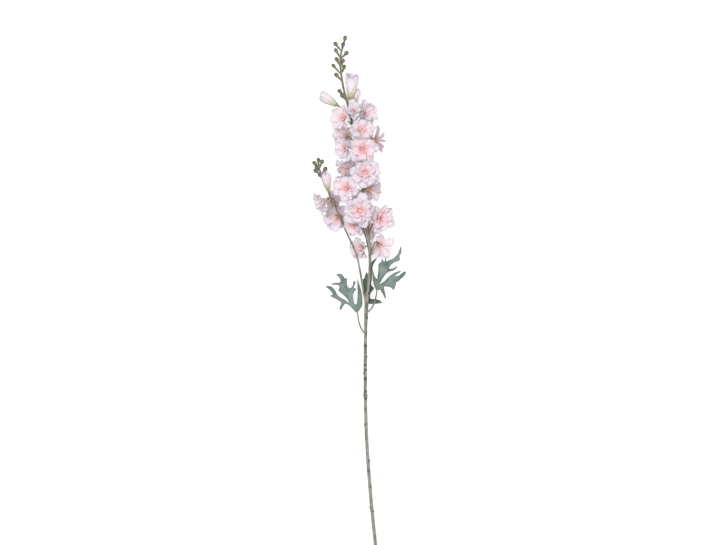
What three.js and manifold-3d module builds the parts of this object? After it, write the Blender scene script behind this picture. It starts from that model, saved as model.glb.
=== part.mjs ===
// A delphinium flower spike, cut and laid down: one long stem with a side shoot, double blooms on
// short stalks, pale opening buds, small green buds at both tips and three deeply cut leaves.
// Millimetres. The spike lies along +Y with its tip at the far end, +X is to its right as it is
// seen from above, and +Z is up. It rests on z = 0.
import * as THREE from 'three';
import { mergeVertices } from 'three/addons/utils/BufferGeometryUtils.js';
import Module from 'manifold-3d';

const wasm = await Module();
wasm.setup();

// ---- driving dimensions ----------------------------------------------------------------------

const BLADE = 0.7; // thickness of petals and leaves
const GAP = 0.3; // clearance between a stalk and what sits on it
const CROWD_GAP = 0.55; // half the room kept between the petals of two blooms
const CROWD_SOFT = 4; // depth over which a petal turns aside before a neighbour
const CROWD_PASSES = 4; // how often a petal is moved behind all its neighbours in turn
const TURN_UP = 0.6; // share of the room that a petal gives up which it gains in height
const FLOOR_TRIM = 0.1; // what the surface flattens off the lowest blades
const FLOOR_SOFT = 1.2; // the same depth over the surface that the spike lies on
const CALYX = 0.3; // length of a calyx, as a share of its bloom's radius
const BUD_CALYX = 0.14; // the same for a pale bud
const HAIRLINE = 0.02; // edges shorter than this are closed up where solids are joined

// Centre lines of the main stem and of the side shoot, from the root end to the tip.
const STEM_LINE = [
  [18.5, 0, 2.15], [9.2, 94, 9], [1.7, 205, 17], [0, 316, 25], [2, 417, 32.5], [8, 487, 37],
  [4.7, 541, 39], [-4.2, 615, 40], [-13.4, 682, 40], [-26, 741, 40], [-38, 790, 39],
  [-42, 833, 38], [-34.5, 865, 37],
];
const SHOOT_LINE = [
  [1.7, 418, 33.5], [-3.4, 443.5, 37], [-9.1, 477, 40], [-14.6, 502, 41], [-24.7, 526, 42],
  [-34.4, 546, 43], [-44.4, 569.5, 44], [-55.3, 594, 44], [-63.5, 613, 42], [-72, 633, 37],
  [-79, 653, 35.5],
];
// Radius of each at heights along the spike: [y, radius].
const STEM_RADIUS = [[0, 2.3], [380, 2.3], [418, 2.8], [445, 2.1], [640, 1.8], [740, 1.6], [870, 1.1]];
const SHOOT_RADIUS = [[418, 1.9], [520, 1.5], [655, 1.0]];
// Leaf scars on the bare stem: [y, side it stands on].
const SCARS = [[72, -1], [158, 1], [217, 1], [265, -1], [302, -1], [331, 1], [350, 1], [396, 1]];

// Blooms: [name, root, at, facing, radius, cup, turn]. Root is the height at which the stalk leaves
// its stem, at is the throat's bottom, facing the way it looks, radius the reach of its outer
// petals, cup how far it is closed and turn how far it is turned about its own axis, in petals.
const BLOOMS = [
  ['bloom_01', 499, [22, 521, 42], [0.3, -0.4, -0.8], 26, 0.2, 0.1],
  ['bloom_02', 499, [-3, 516, 23], [-0.7, -0.2, 0.68], 24, 0.2, 0.3],
  ['bloom_03', 535, [22.5, 563, 48], [0.4, 0, 0.92], 27, 0.12, 0.6],
  ['bloom_04', 556, [-9, 577, 56], [0, -0.05, 1], 32, 0.08, 0],
  ['bloom_05', 500, [-17, 554, 42], [-0.35, -0.45, 0.75], 23, 0.25, 0.4],
  ['bloom_06', 597, [-30, 615, 51], [-0.35, 0, 0.92], 26, 0.12, 0.8],
  ['bloom_07', 593, [3, 613, 42], [0.8, -0.1, -0.55], 26, 0.2, 0.2],
  ['bloom_08', 617, [-1, 640, 57], [0.1, 0.1, 1], 30, 0.08, 0.5],
  ['bloom_09', 632, [-26, 648, 42], [-0.8, -0.35, 0.2], 28, 0.28, 0.7],
  ['bloom_10', 662, [-4, 680, 55], [0.1, -0.1, 1], 29, 0.15, 0.15],
  ['bloom_11', 668, [-31, 682, 47], [-0.6, -0.15, 0.75], 25, 0.25, 0.45],
  ['bloom_12', 690, [-32, 702, 38], [-0.45, 0.2, -0.85], 24, 0.2, 0.9],
  ['bloom_13', 696, [-7, 711, 55], [0.1, 0.1, 0.98], 26, 0.2, 0.65],
  ['bloom_14', 683, [13, 696, 38], [0.6, -0.15, -0.78], 25, 0.1, 0.4],
  ['bloom_15', 718, [-35, 732, 46], [-0.35, 0.05, 0.92], 25, 0.18, 0.05],
  ['bloom_16', 728, [-18, 741.5, 53.5], [0.05, 0.2, 0.95], 22, 0.3, 0.55],
  ['bloom_17', 726, [-4, 739, 47], [0.45, 0.15, 0.85], 26, 0.2, 0.25],
  ['bloom_18', 530, [3, 550, 15.5], [0.25, -0.1, -0.95], 24, 0.42, 0.75],
  ['bloom_19', 574, [-7, 592, 15.5], [-0.1, 0.1, -0.97], 24, 0.42, 0.95],
  ['bloom_20', 630, [-20, 645, 15.5], [-0.25, 0.1, -0.95], 26, 0.42, 0.4],
  ['bloom_21', 694, [-5, 708, 15.5], [0.3, 0.1, -0.93], 24, 0.42, 0.1],
  ['side_bloom_1', 577, [-66, 595, 44], [-0.85, -0.4, 0.25], 26, 0.22, 0.5],
  ['side_bloom_2', 583, [-57, 594, 27], [0.1, -0.1, -0.95], 21, 0.4, 0.2],
  ['side_bloom_3', 547, [-45, 568, 19], [-0.2, -0.2, -0.93], 29, 0.22, 0.85],
].map(([name, root, at, facing, radius, cup, turn]) => (
  { name, root, at, facing, radius, cup, turn }
));

// Pale buds: [name, root, at, facing, length, closed, turn]. Closed is 1 where the petals meet at
// the tip and 0 where they open like a goblet.
const BUDS = [
  ['bud_left', 742, [-47.5, 754.5, 41], [-0.84, 0.54, 0], 35, 0.4, 0.2],
  ['bud_top', 752, [-26, 764, 42], [0.1, 0.99, 0.05], 45, 0.0, 0.6],
  ['bud_right', 746, [-18, 758, 34], [0.17, 0.98, -0.1], 26, 0.7, 0.4],
  ['side_bud', 600, [-62.5, 611, 49], [-0.17, 0.97, 0.12], 32, 0.9, 0.1],
].map(([name, root, at, facing, radius, closed, turn]) => (
  { name, root, at, facing, radius, closed, turn }
));

// Small green buds at the tips: [x, y, z] of each, and the height at which its stalk leaves.
const TIP_BUDS = [
  [-34.2, 867.6, 37, 860], [-50, 857.3, 39.5, 845], [-37.5, 856, 42, 847], [-49.6, 847, 34.5, 834],
  [-31.9, 842, 38, 832], [-48, 831, 42.5, 820], [-37.6, 829.6, 32.5, 818], [-53.4, 820.7, 38, 806],
  [-36, 818.3, 42.5, 806], [-48.7, 805.6, 35.5, 794], [-43, 777.5, 43, 768], [-39.5, 771, 33, 762],
];
const SHOOT_BUDS = [
  [-85.5, 657, 37, 650], [-79, 662, 38.5, 652], [-73, 659.5, 34, 648], [-83.5, 644, 39, 637],
  [-77, 637.5, 31.5, 629], [-67.5, 647, 39, 637], [-82, 650.5, 32, 643],
];
const GREEN_BUD = 3.4; // radius of a small green bud

// Leaves: the outline of each seen from above, starting at the stalk's end, the height z of its
// foot, the slope at which it rises from there and how far it droops at LEAF_REACH from its foot.
const LEAF_REACH = 60;
const LEAVES = {
  leaf_left: {
    foot: [-12.8, 405.6, 31],
    rise: 0.05,
    droop: 4.5,
    outline: [
      [-12, 407], [-15, 405], [-21, 411.5], [-28, 418], [-33.5, 420.5], [-37.5, 416],
      [-40, 410.5], [-43, 410], [-43.3, 414], [-41, 419.5], [-40.5, 423], [-46.5, 426.5],
      [-54, 430.5], [-59, 433.5], [-54.5, 436.5], [-57.5, 440.5], [-62, 445.3], [-66.8, 448.8],
      [-65, 450.2], [-58.5, 450], [-54.3, 447], [-50, 441.5], [-47.5, 436], [-42, 431],
      [-34, 426.5], [-28, 422], [-29, 426.5], [-33.5, 432], [-40.5, 438], [-45.3, 443],
      [-43.3, 448.5], [-45, 451.3], [-51, 452.3], [-56.5, 452.3], [-56.3, 454.2], [-50.5, 455.8],
      [-44, 456], [-41.5, 458.3], [-43, 463], [-46.5, 467], [-48.5, 469.8], [-45, 471],
      [-40, 470.3], [-36.7, 467], [-34.8, 463.5], [-30.8, 463], [-31.2, 456], [-29.6, 449],
      [-26.7, 446.5], [-23, 448.2], [-20.8, 452.4], [-20.2, 457.7], [-17.8, 458.8],
      [-16.1, 456.5], [-17.8, 452], [-19.5, 448], [-15.1, 444.7], [-19, 440], [-20.8, 434.5],
      [-20.2, 426.5], [-17.5, 419.5], [-14.8, 419.5], [-13.5, 426.5], [-12.8, 438], [-13.5, 452],
      [-12.8, 462.5], [-11.2, 457], [-9, 450], [-6.6, 440.5], [-4.9, 429], [-5, 418], [-9, 411],
    ],
  },
  leaf_right: {
    foot: [19.6, 442.35, 38],
    rise: 0.02,
    droop: 5,
    outline: [
      [18.5, 443], [15, 451], [13, 459], [12, 469], [12, 480], [16, 466], [20, 462], [21, 469],
      [21.9, 478], [22.5, 487.5], [26.3, 490.7], [28, 493.6], [29, 496.8], [30.6, 492.4],
      [32.4, 490.7], [34, 498.8], [36, 491.5], [40.5, 493.6], [48.5, 497.7], [54.5, 504.2],
      [57.6, 511.3], [60, 517.8], [61.2, 512.5], [60.5, 505.4], [57.6, 499.5], [58.8, 494.2],
      [55.3, 492.4], [48.8, 490], [42.9, 485.3], [39.8, 480.3], [43, 479], [47.6, 480.3],
      [54, 484], [51.7, 479.3], [46.4, 475.9], [41.7, 475], [36, 472], [30, 464], [26, 457],
      [24, 453.5], [26.5, 454.5], [32.3, 458.3], [37, 463], [44, 469], [50, 473], [58.8, 475.8],
      [60, 474.5], [55, 471], [49.8, 467.2], [56, 467.7], [61.8, 472.2], [66.5, 475],
      [68.8, 473.5], [65.9, 467.7], [59.4, 461.8], [54.7, 457.1], [52, 457], [51, 451],
      [47.6, 443.5], [44, 447], [39.3, 449], [31.7, 449.2], [32.3, 443], [34, 436], [35, 429.4],
      [33, 429.4], [30.5, 434.7], [27, 440.6], [25, 444], [21, 443],
    ],
  },
  leaf_back: {
    foot: [2.5, 419.45, 25],
    rise: -0.06,
    droop: 1,
    outline: [
      [1.5, 420], [-2, 432], [-3, 444], [-4, 462], [-2, 463], [2, 474], [4, 470], [6, 477],
      [11, 491], [20, 498], [14, 487], [12, 480], [11, 460], [10, 452], [15, 446], [9, 438],
      [8, 434], [9, 428.5], [16, 428.2], [24, 426.4], [29, 422], [16, 420], [4, 420],
    ],
  },
};
// Leaf stalks: the height at which each leaves the stem and the points it bends through.
const LEAF_STALKS = {
  leaf_left: { root: 369, bend: [-11.8, 380, 30] },
  leaf_right: { root: 405, bend: [16, 411, 36] },
  leaf_back: { root: 401, bend: [2.2, 412, 27.5] },
};

// ---- colours ---------------------------------------------------------------------------------

const colour = {
  petal: new THREE.MeshStandardMaterial({ color: 0xf3dbe2, roughness: 0.85, metalness: 0 }),
  bud: new THREE.MeshStandardMaterial({ color: 0xe6dde4, roughness: 0.85, metalness: 0 }),
  stem: new THREE.MeshStandardMaterial({ color: 0xa3a38f, roughness: 0.6, metalness: 0 }),
  leaf: new THREE.MeshStandardMaterial({ color: 0x82948b, roughness: 0.8, metalness: 0 }),
};

// ---- solids ----------------------------------------------------------------------------------

function solidOf(geometry) {
  const bare = new THREE.BufferGeometry();
  bare.setAttribute('position', geometry.getAttribute('position').clone());
  if (geometry.index) bare.setIndex(geometry.index.clone());
  const whole = mergeVertices(bare, 1e-4);
  return new wasm.Manifold(new wasm.Mesh({
    numProp: 3,
    vertProperties: Float32Array.from(whole.getAttribute('position').array),
    triVerts: Uint32Array.from(whole.index.array),
  }));
}

// Joins solids into one body. Loose scraps, sealed hollows and hairline edges are left out.
function fuse(solids) {
  const joined = solids.reduce((all, next) => all.add(next));
  const bodies = joined.decompose();
  return bodies.reduce((best, next) => (next.volume() > best.volume() ? next : best)).simplify(HAIRLINE);
}

function geometryOf(solid) {
  const mesh = solid.getMesh();
  const geometry = new THREE.BufferGeometry();
  const points = new Float32Array((mesh.vertProperties.length / mesh.numProp) * 3);
  for (let i = 0; i < points.length / 3; i++) {
    for (let axis = 0; axis < 3; axis++) {
      points[3 * i + axis] = mesh.vertProperties[mesh.numProp * i + axis];
    }
  }
  geometry.setAttribute('position', new THREE.BufferAttribute(points, 3));
  geometry.setIndex(new THREE.BufferAttribute(mesh.triVerts, 1));
  return geometry;
}

// Turns a sheet into a closed blade: the same triangles on both faces, and a rim between them.
function thicken(sheet, thickness) {
  sheet.computeVertexNormals();
  const point = sheet.getAttribute('position');
  const normal = sheet.getAttribute('normal');
  const count = point.count;
  const points = [];
  for (const side of [1, -1]) {
    for (let i = 0; i < count; i++) {
      const offset = (side * thickness) / 2;
      points.push(point.getX(i) + offset * normal.getX(i));
      points.push(point.getY(i) + offset * normal.getY(i));
      points.push(point.getZ(i) + offset * normal.getZ(i));
    }
  }
  const faces = sheet.index.array;
  const closed = [];
  const seen = new Set();
  for (let f = 0; f < faces.length; f += 3) {
    const [a, b, c] = [faces[f], faces[f + 1], faces[f + 2]];
    closed.push(a, b, c, c + count, b + count, a + count);
    for (const [from, to] of [[a, b], [b, c], [c, a]]) seen.add(`${from},${to}`);
  }
  for (const edge of seen) {
    const [from, to] = edge.split(',').map(Number);
    if (seen.has(`${to},${from}`)) continue;
    closed.push(to, from, from + count, to, from + count, to + count);
  }
  const blade = new THREE.BufferGeometry();
  blade.setAttribute('position', new THREE.Float32BufferAttribute(points, 3));
  blade.setIndex(closed);
  return blade;
}

function between(table, at) {
  let k = 0;
  while (k < table.length - 2 && at > table[k + 1][0]) k++;
  const [[x0, y0], [x1, y1]] = [table[k], table[k + 1]];
  const share = THREE.MathUtils.clamp((at - x0) / (x1 - x0), 0, 1);
  return y0 + share * (y1 - y0);
}

// A round stalk along a curve, closed at both ends, with a radius that may change along it.
function stalk(curve, radiusAt, sides, steps) {
  const tube = new THREE.CylinderGeometry(1, 1, 1, sides, steps);
  const frames = curve.computeFrenetFrames(steps, false);
  const point = tube.getAttribute('position');
  const place = new THREE.Vector3();
  for (let i = 0; i < point.count; i++) {
    const along = Math.round((point.getY(i) + 0.5) * steps);
    const centre = curve.getPointAt(along / steps);
    const radius = radiusAt(along / steps, centre);
    place.copy(centre);
    place.addScaledVector(frames.normals[along], radius * point.getZ(i));
    place.addScaledVector(frames.binormals[along], radius * point.getX(i));
    point.setXYZ(i, place.x, place.y, place.z);
  }
  return solidOf(tube);
}

const vector = (list) => new THREE.Vector3(...list);
const stemCurve = new THREE.CatmullRomCurve3(STEM_LINE.map(vector), false, 'centripetal');
const shootCurve = new THREE.CatmullRomCurve3(SHOOT_LINE.map(vector), false, 'centripetal');

// The point of a curve at a height y along the spike.
function axisPoint(curve, y) {
  let low = 0;
  let high = 1;
  for (let step = 0; step < 30; step++) {
    const middle = (low + high) / 2;
    if (curve.getPointAt(middle).y < y) low = middle;
    else high = middle;
  }
  return curve.getPointAt(low);
}

// ---- blooms ----------------------------------------------------------------------------------

// A repeatable spread of numbers from -0.5 to 0.5.
function vary(seed) {
  const wide = Math.sin(seed * 12.9898) * 43758.5453;
  return wide - Math.floor(wide) - 0.5;
}

// The two layers of a double bloom, each cut as one rosette: petals in a layer, its reach, a
// petal's half width, the radius of the rosette's uncut middle and its height as shares of the
// bloom's radius, what the petals lean up beyond the cup, in degrees, their offset in petals, and
// the rows that a petal is divided in: [place along it, places across it].
const LAYERS = [
  {
    petals: 5, reach: 1.0, half: 0.31, ring: 0.13, root: 0.02, lift: 0, offset: 0,
    rows: [[0.36, [-1, 1]], [0.78, [-1, 0, 1]], [1, [-0.6, 0, 0.6]]],
  },
  {
    petals: 5, reach: 0.84, half: 0.26, ring: 0.12, root: 0.14, lift: 24, offset: 0.5,
    rows: [[0.66, [-1, 1]], [1, [-0.6, 0, 0.6]]],
  },
];
const MIDDLE = 0.3; // height of a bloom's middle over its throat's bottom, as a share of its radius
const LEAN_OPEN = 12; // rise of an open bloom's outer petals, in degrees
const LEAN_SHUT = 82; // rise of the petals of a bloom that is shut
const LEAN_SPREAD = 9; // how far petals of one layer differ in it
const REACH_SPREAD = 0.1; // how far they differ in length, as a share of it
const TURN_SPREAD = 0.18; // how far a petal's tip swings round the bloom, in radians
const NOTCH = 0.1; // depth of the notch in a petal's end, as a share of its length
const SHOULDER = 0.14; // what its corners fall back by
const PETAL_SHARE = 0.97; // how much of its layer's ring a petal may fill
const HOLLOW = 0.16; // how far its edges rise over its middle, as a share of its half width
const TWIST = 0.16; // slope of one edge over the other at its root
const RUFFLE = 0.07; // height of the wave along its end, as a share of its length
const RUFFLE_WAVES = 2.6; // radians of that wave from its middle to its edge

const bezier = (a, b, c, d, t) => {
  const u = 1 - t;
  return a * u * u * u + 3 * b * u * u * t + 3 * c * u * t * t + d * t * t * t;
};

// Half width along a petal, as a share of its widest.
const petalWidth = (t) => 0.1 + 0.9 * Math.sin(Math.min(1, t / 0.8) * (Math.PI / 2)) ** 2
  - 0.2 * Math.max(0, (t - 0.8) / 0.2) ** 2;

// Middle surface of a petal in the bloom's own frame, looking along +Z: s runs across it from -1
// to 1 and t along it from 0 to 1.
function petalPoint(bloom, layer, k, s, t) {
  const seed = bloom.seed * 7 + k + 31 * layer.offset;
  const lean = THREE.MathUtils.lerp(LEAN_OPEN, LEAN_SHUT, bloom.cup)
    + layer.lift * (1 - 0.6 * bloom.cup) + LEAN_SPREAD * vary(seed);
  const angle = THREE.MathUtils.degToRad(lean);
  const reach = bloom.radius * layer.reach * (1 + REACH_SPREAD * vary(seed + 0.37));
  const notch = 1 - (NOTCH * (1 - Math.abs(s)) ** 2 + SHOULDER * Math.abs(s) ** 3) * t * t;
  const bow = angle * 1.15;
  const outAt = (place) => bezier(0.13, 0.17, 0.6 * Math.cos(bow), Math.cos(angle), place) * reach;
  const along = t * notch;
  const out = outAt(along);
  const up = bezier(0, 0.2, 0.6 * Math.sin(bow) + 0.12, Math.sin(angle), along) * reach
    + layer.root * bloom.radius;
  // A petal is as broad as its share of the layer's ring allows.
  const share = (PETAL_SHARE * Math.PI * outAt(0.78)) / layer.petals;
  const half = Math.min(layer.half * bloom.radius, share) * petalWidth(t);
  const across = s * half;
  const wave = Math.sin(RUFFLE_WAVES * s + 6 * vary(seed + 0.71));
  const curl = HOLLOW * half * s * s + TWIST * across * (1 - 0.5 * t) + RUFFLE * reach * t * t * wave;
  const turn = ((k + layer.offset + bloom.turn) / layer.petals) * 2 * Math.PI
    + TURN_SPREAD * t * vary(seed + 0.53);
  const outward = out - curl * Math.sin(angle) * t;
  const upward = up + curl * (1 - Math.sin(angle) * t * 0.5);
  return new THREE.Vector3(
    outward * Math.cos(turn) - across * Math.sin(turn),
    outward * Math.sin(turn) + across * Math.cos(turn),
    upward,
  );
}

// Where the cut between a petal and the one before it ends, on the rosette's ring.
function ringPoint(bloom, layer, k) {
  const turn = ((k - 0.5 + layer.offset + bloom.turn) / layer.petals) * 2 * Math.PI;
  const radius = layer.ring * bloom.radius;
  return new THREE.Vector3(radius * Math.cos(turn), radius * Math.sin(turn), layer.root * bloom.radius);
}

// The bloom's own axes: it looks along forward, and its petals are counted from side.
function frameOf(bloom) {
  const forward = vector(bloom.facing).normalize();
  const side = new THREE.Vector3(0, 1, 0).cross(forward);
  if (side.length() < 0.2) side.set(1, 0, 0).addScaledVector(forward, -forward.x);
  side.normalize();
  return new THREE.Matrix4().makeBasis(side, forward.clone().cross(side), forward)
    .setPosition(vector(bloom.at));
}

// What a bloom gives way to: planes that its petals stay behind, each with its outward normal.
// There is one halfway to each neighbour, one before each stem and one at the surface below.
function limitsOf(bloom) {
  const limits = [{ normal: new THREE.Vector3(0, 0, -1), reach: BLADE / 2 - FLOOR_TRIM, floor: true }];
  for (const other of BLOOMS) {
    const apart = other.heart.clone().sub(bloom.heart);
    const room = bloom.radius + other.radius;
    if (other === bloom || apart.length() > room + 2) continue;
    const share = apart.length() * (bloom.radius / room) - CROWD_GAP;
    limits.push({ normal: apart.normalize(), reach: share });
  }
  const long = BUDS.map((bud) => [bud.line, () => BUD_GIRTH * bud.radius]);
  long.push([stemCurve, (y) => between(STEM_RADIUS, y)], [shootCurve, (y) => between(SHOOT_RADIUS, y)]);
  for (const [curve, girthAt] of long) {
    const near = nearestPoint(curve, bloom.heart);
    const apart = near.clone().sub(bloom.heart);
    const share = apart.length() - girthAt(near.y) - 2 * CROWD_GAP;
    if (share < bloom.radius + 2) limits.push({ normal: apart.normalize(), reach: share });
  }
  return limits;
}

function nearestPoint(curve, to) {
  const points = curve.getSpacedPoints(200);
  return points.reduce((best, next) => (next.distanceTo(to) < best.distanceTo(to) ? next : best));
}

// Turns a point of a petal aside where it would pass a limit: the nearer it comes, the more it
// gives way, and what it loses towards its neighbour it gains along the way the bloom looks.
function giveWay(bloom, point) {
  const away = vector(bloom.facing).normalize();
  for (let pass = 0; pass < CROWD_PASSES; pass++) {
    for (const limit of bloom.limits) {
      const inside = limit.floor
        ? limit.reach - point.z
        : point.clone().sub(bloom.heart).dot(limit.normal) - limit.reach;
      if (pass > 0) {
        point.addScaledVector(limit.normal, -Math.max(0, inside));
        continue;
      }
      const soft = limit.floor ? FLOOR_SOFT : CROWD_SOFT;
      if (inside <= -soft) continue;
      const lost = inside + soft * Math.exp(-(inside + soft) / soft);
      point.addScaledVector(limit.normal, -lost);
      const slide = point.clone().sub(bloom.heart).multiplyScalar(0.6 / bloom.radius).add(away);
      slide.addScaledVector(limit.normal, -slide.dot(limit.normal));
      point.addScaledVector(slide, TURN_UP * lost);
    }
  }
  return point;
}

// Faces between two rows of points that run the same way, the near row first.
function joinRows(near, far) {
  const faces = [];
  let i = 0;
  let j = 0;
  while (i < near.length - 1 || j < far.length - 1) {
    const farFirst = (j + 1) / (far.length - 1) <= (i + 1) / (near.length - 1);
    if (j < far.length - 1 && (i === near.length - 1 || farFirst)) {
      faces.push(near[i], far[j], far[j + 1]);
      j++;
    } else {
      faces.push(near[i], far[j], near[i + 1]);
      i++;
    }
  }
  return faces;
}

function bladeOf(points, faces) {
  const sheet = new THREE.BufferGeometry();
  sheet.setFromPoints(points);
  sheet.setIndex(faces);
  return solidOf(thicken(sheet, BLADE));
}

// One layer of a bloom: a rosette whose petals part outside its ring.
function rosette(bloom, layer) {
  const place = (point) => giveWay(bloom, point.applyMatrix4(bloom.frame));
  const points = [place(new THREE.Vector3(0, 0, layer.root * bloom.radius))];
  for (let k = 0; k < layer.petals; k++) points.push(place(ringPoint(bloom, layer, k)));
  const faces = [];
  for (let k = 0; k < layer.petals; k++) {
    let near = [k + 1, ((k + 1) % layer.petals) + 1];
    faces.push(0, ...near);
    for (const [t, places] of layer.rows) {
      const far = places.map((s) => points.push(place(petalPoint(bloom, layer, k, s, t))) - 1);
      faces.push(...joinRows(near, far));
      near = far;
    }
  }
  return bladeOf(points, faces);
}

const HEART_GIRTH = 0.1; // radius of a bloom's heart, as a share of the bloom's
const HEART_HEIGHT = 0.24; // how far it stands up in the throat, the same way

// Heart of a bloom or bud: the calyx at its back, closed over by a small dome in the throat.
function heartSolid(piece, length, girth, height) {
  const profile = [
    [0, -length], [0.45 * girth, -length], [0.95 * girth, -0.35 * length],
    [girth, 0.3 * height], [0, height],
  ];
  const lathe = new THREE.LatheGeometry(profile.map(([x, y]) => new THREE.Vector2(x, y)), 6);
  lathe.rotateX(Math.PI / 2);
  lathe.applyMatrix4(piece.frame);
  return solidOf(lathe);
}

function bloomSolid(bloom) {
  const size = bloom.radius;
  const heart = heartSolid(bloom, CALYX * size, HEART_GIRTH * size, HEART_HEIGHT * size);
  return fuse([heart, ...LAYERS.map((layer) => rosette(bloom, layer))]);
}

// ---- pale buds -------------------------------------------------------------------------------

const BUD_PETALS = 5;
const BUD_ROWS = [[0, [-1, 1]], [0.45, [-1, 0, 1]], [0.8, [-1, 0, 1]], [1, [-0.6, 0, 0.6]]];
const BUD_GIRTH = 0.27; // half width of a bud over its length
const BUD_MOUTH = [0.2, 0.05]; // the same at the tip of an open and of a closed bud
const BUD_BELLY = [0.33, 0.42]; // how far the petals of each bow out on their way there
const BUD_WRAP = 0.85; // half width of a bud's petal round the bud, in radians
const BUD_LAP = 0.9; // how far its edges stand in front of and behind its neighbours' edges

// Middle surface of a bud's petal: it stands up from the calyx, bulges, and leans in at the tip
// where the bud is closed.
function budPoint(bud, k, s, t) {
  const seed = bud.seed * 11 + k;
  const tip = THREE.MathUtils.lerp(...BUD_MOUTH, bud.closed);
  const belly = THREE.MathUtils.lerp(...BUD_BELLY, bud.closed);
  const cut = NOTCH * (1 - Math.abs(s)) ** 2 + NOTCH * Math.abs(s) ** 3;
  const along = t * (1 - (1 - bud.closed) * cut * t * t);
  const out = bezier(0.06, 0.12, belly, tip, along) * bud.radius;
  const up = bezier(0.0, 0.35, 0.7, 1, along) * bud.radius * (1 + 0.06 * vary(seed));
  const spread = THREE.MathUtils.lerp(petalWidth(t), Math.sin(Math.PI * (0.12 + 0.84 * t)), bud.closed);
  const turn = ((k + bud.turn) / BUD_PETALS) * 2 * Math.PI;
  // Each petal wraps round the bud, one edge under its neighbour and one over the next.
  const wrap = s * spread * BUD_WRAP;
  const distance = out + BUD_LAP * s + BLADE / 2;
  return new THREE.Vector3(
    distance * Math.cos(turn + wrap),
    distance * Math.sin(turn + wrap),
    up,
  );
}

function budPetal(bud, k) {
  const points = [];
  const faces = [];
  let near = null;
  for (const [t, places] of BUD_ROWS) {
    const far = places.map((s) => points.push(budPoint(bud, k, s, t).applyMatrix4(bud.frame)) - 1);
    if (near) faces.push(...joinRows(near, far));
    near = far;
  }
  return bladeOf(points, faces);
}

function budSolid(bud) {
  const parts = [heartSolid(bud, BUD_CALYX * bud.radius, 0.075 * bud.radius, 0.5 * bud.radius)];
  for (let k = 0; k < BUD_PETALS; k++) parts.push(budPetal(bud, k));
  return fuse(parts);
}

// ---- stems -----------------------------------------------------------------------------------

const FLOWER_STALK = [1.25, 1.05]; // radius of a flower stalk at its root and at its head
const LEAF_STALK = [1.5, 1.1]; // the same for a leaf stalk
const BUD_STALK = 0.9; // radius of a small green bud's stalk

// A stalk that leaves its stem at a height and arrives behind a bloom or bud, along its axis.
function flowerStalk(curve, piece, length) {
  const from = axisPoint(curve, piece.root);
  const forward = vector(piece.facing).normalize();
  const to = vector(piece.at).addScaledVector(forward, -length - GAP);
  const behind = to.clone().addScaledVector(forward, -0.4 * from.distanceTo(to));
  const path = new THREE.QuadraticBezierCurve3(from, behind, to);
  return stalk(path, (u) => THREE.MathUtils.lerp(...FLOWER_STALK, u), 4, 2);
}

// A small green bud on its stalk, like the head of a match.
function greenBud(curve, [x, y, z, root]) {
  const from = axisPoint(curve, root);
  const along = new THREE.Vector3(x, y, z).sub(from);
  const far = along.length();
  const profile = [
    [0, 0], [BUD_STALK, 0], [BUD_STALK, far - 1.2 * GREEN_BUD], [GREEN_BUD, far - 0.3 * GREEN_BUD],
    [0.8 * GREEN_BUD, far + 0.7 * GREEN_BUD], [0, far + 1.2 * GREEN_BUD],
  ];
  const lathe = new THREE.LatheGeometry(profile.map(([r, h]) => new THREE.Vector2(r, h)), 5);
  const up = new THREE.Vector3(0, 1, 0);
  lathe.applyQuaternion(new THREE.Quaternion().setFromUnitVectors(up, along.normalize()));
  lathe.translate(from.x, from.y, from.z);
  return solidOf(lathe);
}

function scar([y, side]) {
  const centre = axisPoint(stemCurve, y);
  const nub = new THREE.SphereGeometry(1, 4, 3);
  nub.scale(1.5, 2.4, 1.5);
  nub.translate(centre.x + side * between(STEM_RADIUS, y) * 0.75, centre.y, centre.z + 0.6);
  return solidOf(nub);
}

function leafStalk(name) {
  const { root, bend } = LEAF_STALKS[name];
  const foot = vector(LEAVES[name].foot);
  const from = axisPoint(stemCurve, root);
  const path = new THREE.QuadraticBezierCurve3(from, vector(bend), foot);
  return stalk(path, (u) => THREE.MathUtils.lerp(...LEAF_STALK, u), 5, 4);
}

// ---- leaves ----------------------------------------------------------------------------------

// A leaf is cut flat and then bent: it rises or falls away from its foot and droops at its tips.
function leafSolid({ foot, rise, droop, outline }) {
  const [footX, footY, footZ] = foot;
  const shape = new THREE.Shape(outline.map(([x, y]) => new THREE.Vector2(x, y)));
  const sheet = mergeVertices(new THREE.ShapeGeometry(shape).deleteAttribute('uv'), 1e-4);
  const point = sheet.getAttribute('position');
  for (let i = 0; i < point.count; i++) {
    const far = Math.hypot(point.getX(i) - footX, point.getY(i) - footY);
    const fall = droop * (far / LEAF_REACH) ** 2;
    point.setZ(i, footZ + rise * far - fall);
  }
  return solidOf(thicken(sheet, BLADE));
}

// ---- assembly --------------------------------------------------------------------------------

BLOOMS.forEach((bloom, i) => {
  bloom.seed = i + 1;
  bloom.frame = frameOf(bloom);
  bloom.heart = new THREE.Vector3(0, 0, MIDDLE * bloom.radius).applyMatrix4(bloom.frame);
});
BUDS.forEach((bud, i) => {
  bud.seed = i + 41;
  bud.frame = frameOf(bud);
  const tip = new THREE.Vector3(0, 0, bud.radius).applyMatrix4(bud.frame);
  bud.line = new THREE.LineCurve3(vector(bud.at), tip);
});
for (const bloom of BLOOMS) bloom.limits = limitsOf(bloom);

// The surface that the spike lies on: what would sink into it is flattened.
const surface = solidOf(new THREE.BoxGeometry(400, 1200, 20).translate(0, 430, -10));
const onShoot = (piece) => piece.name.startsWith('side_');

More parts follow.
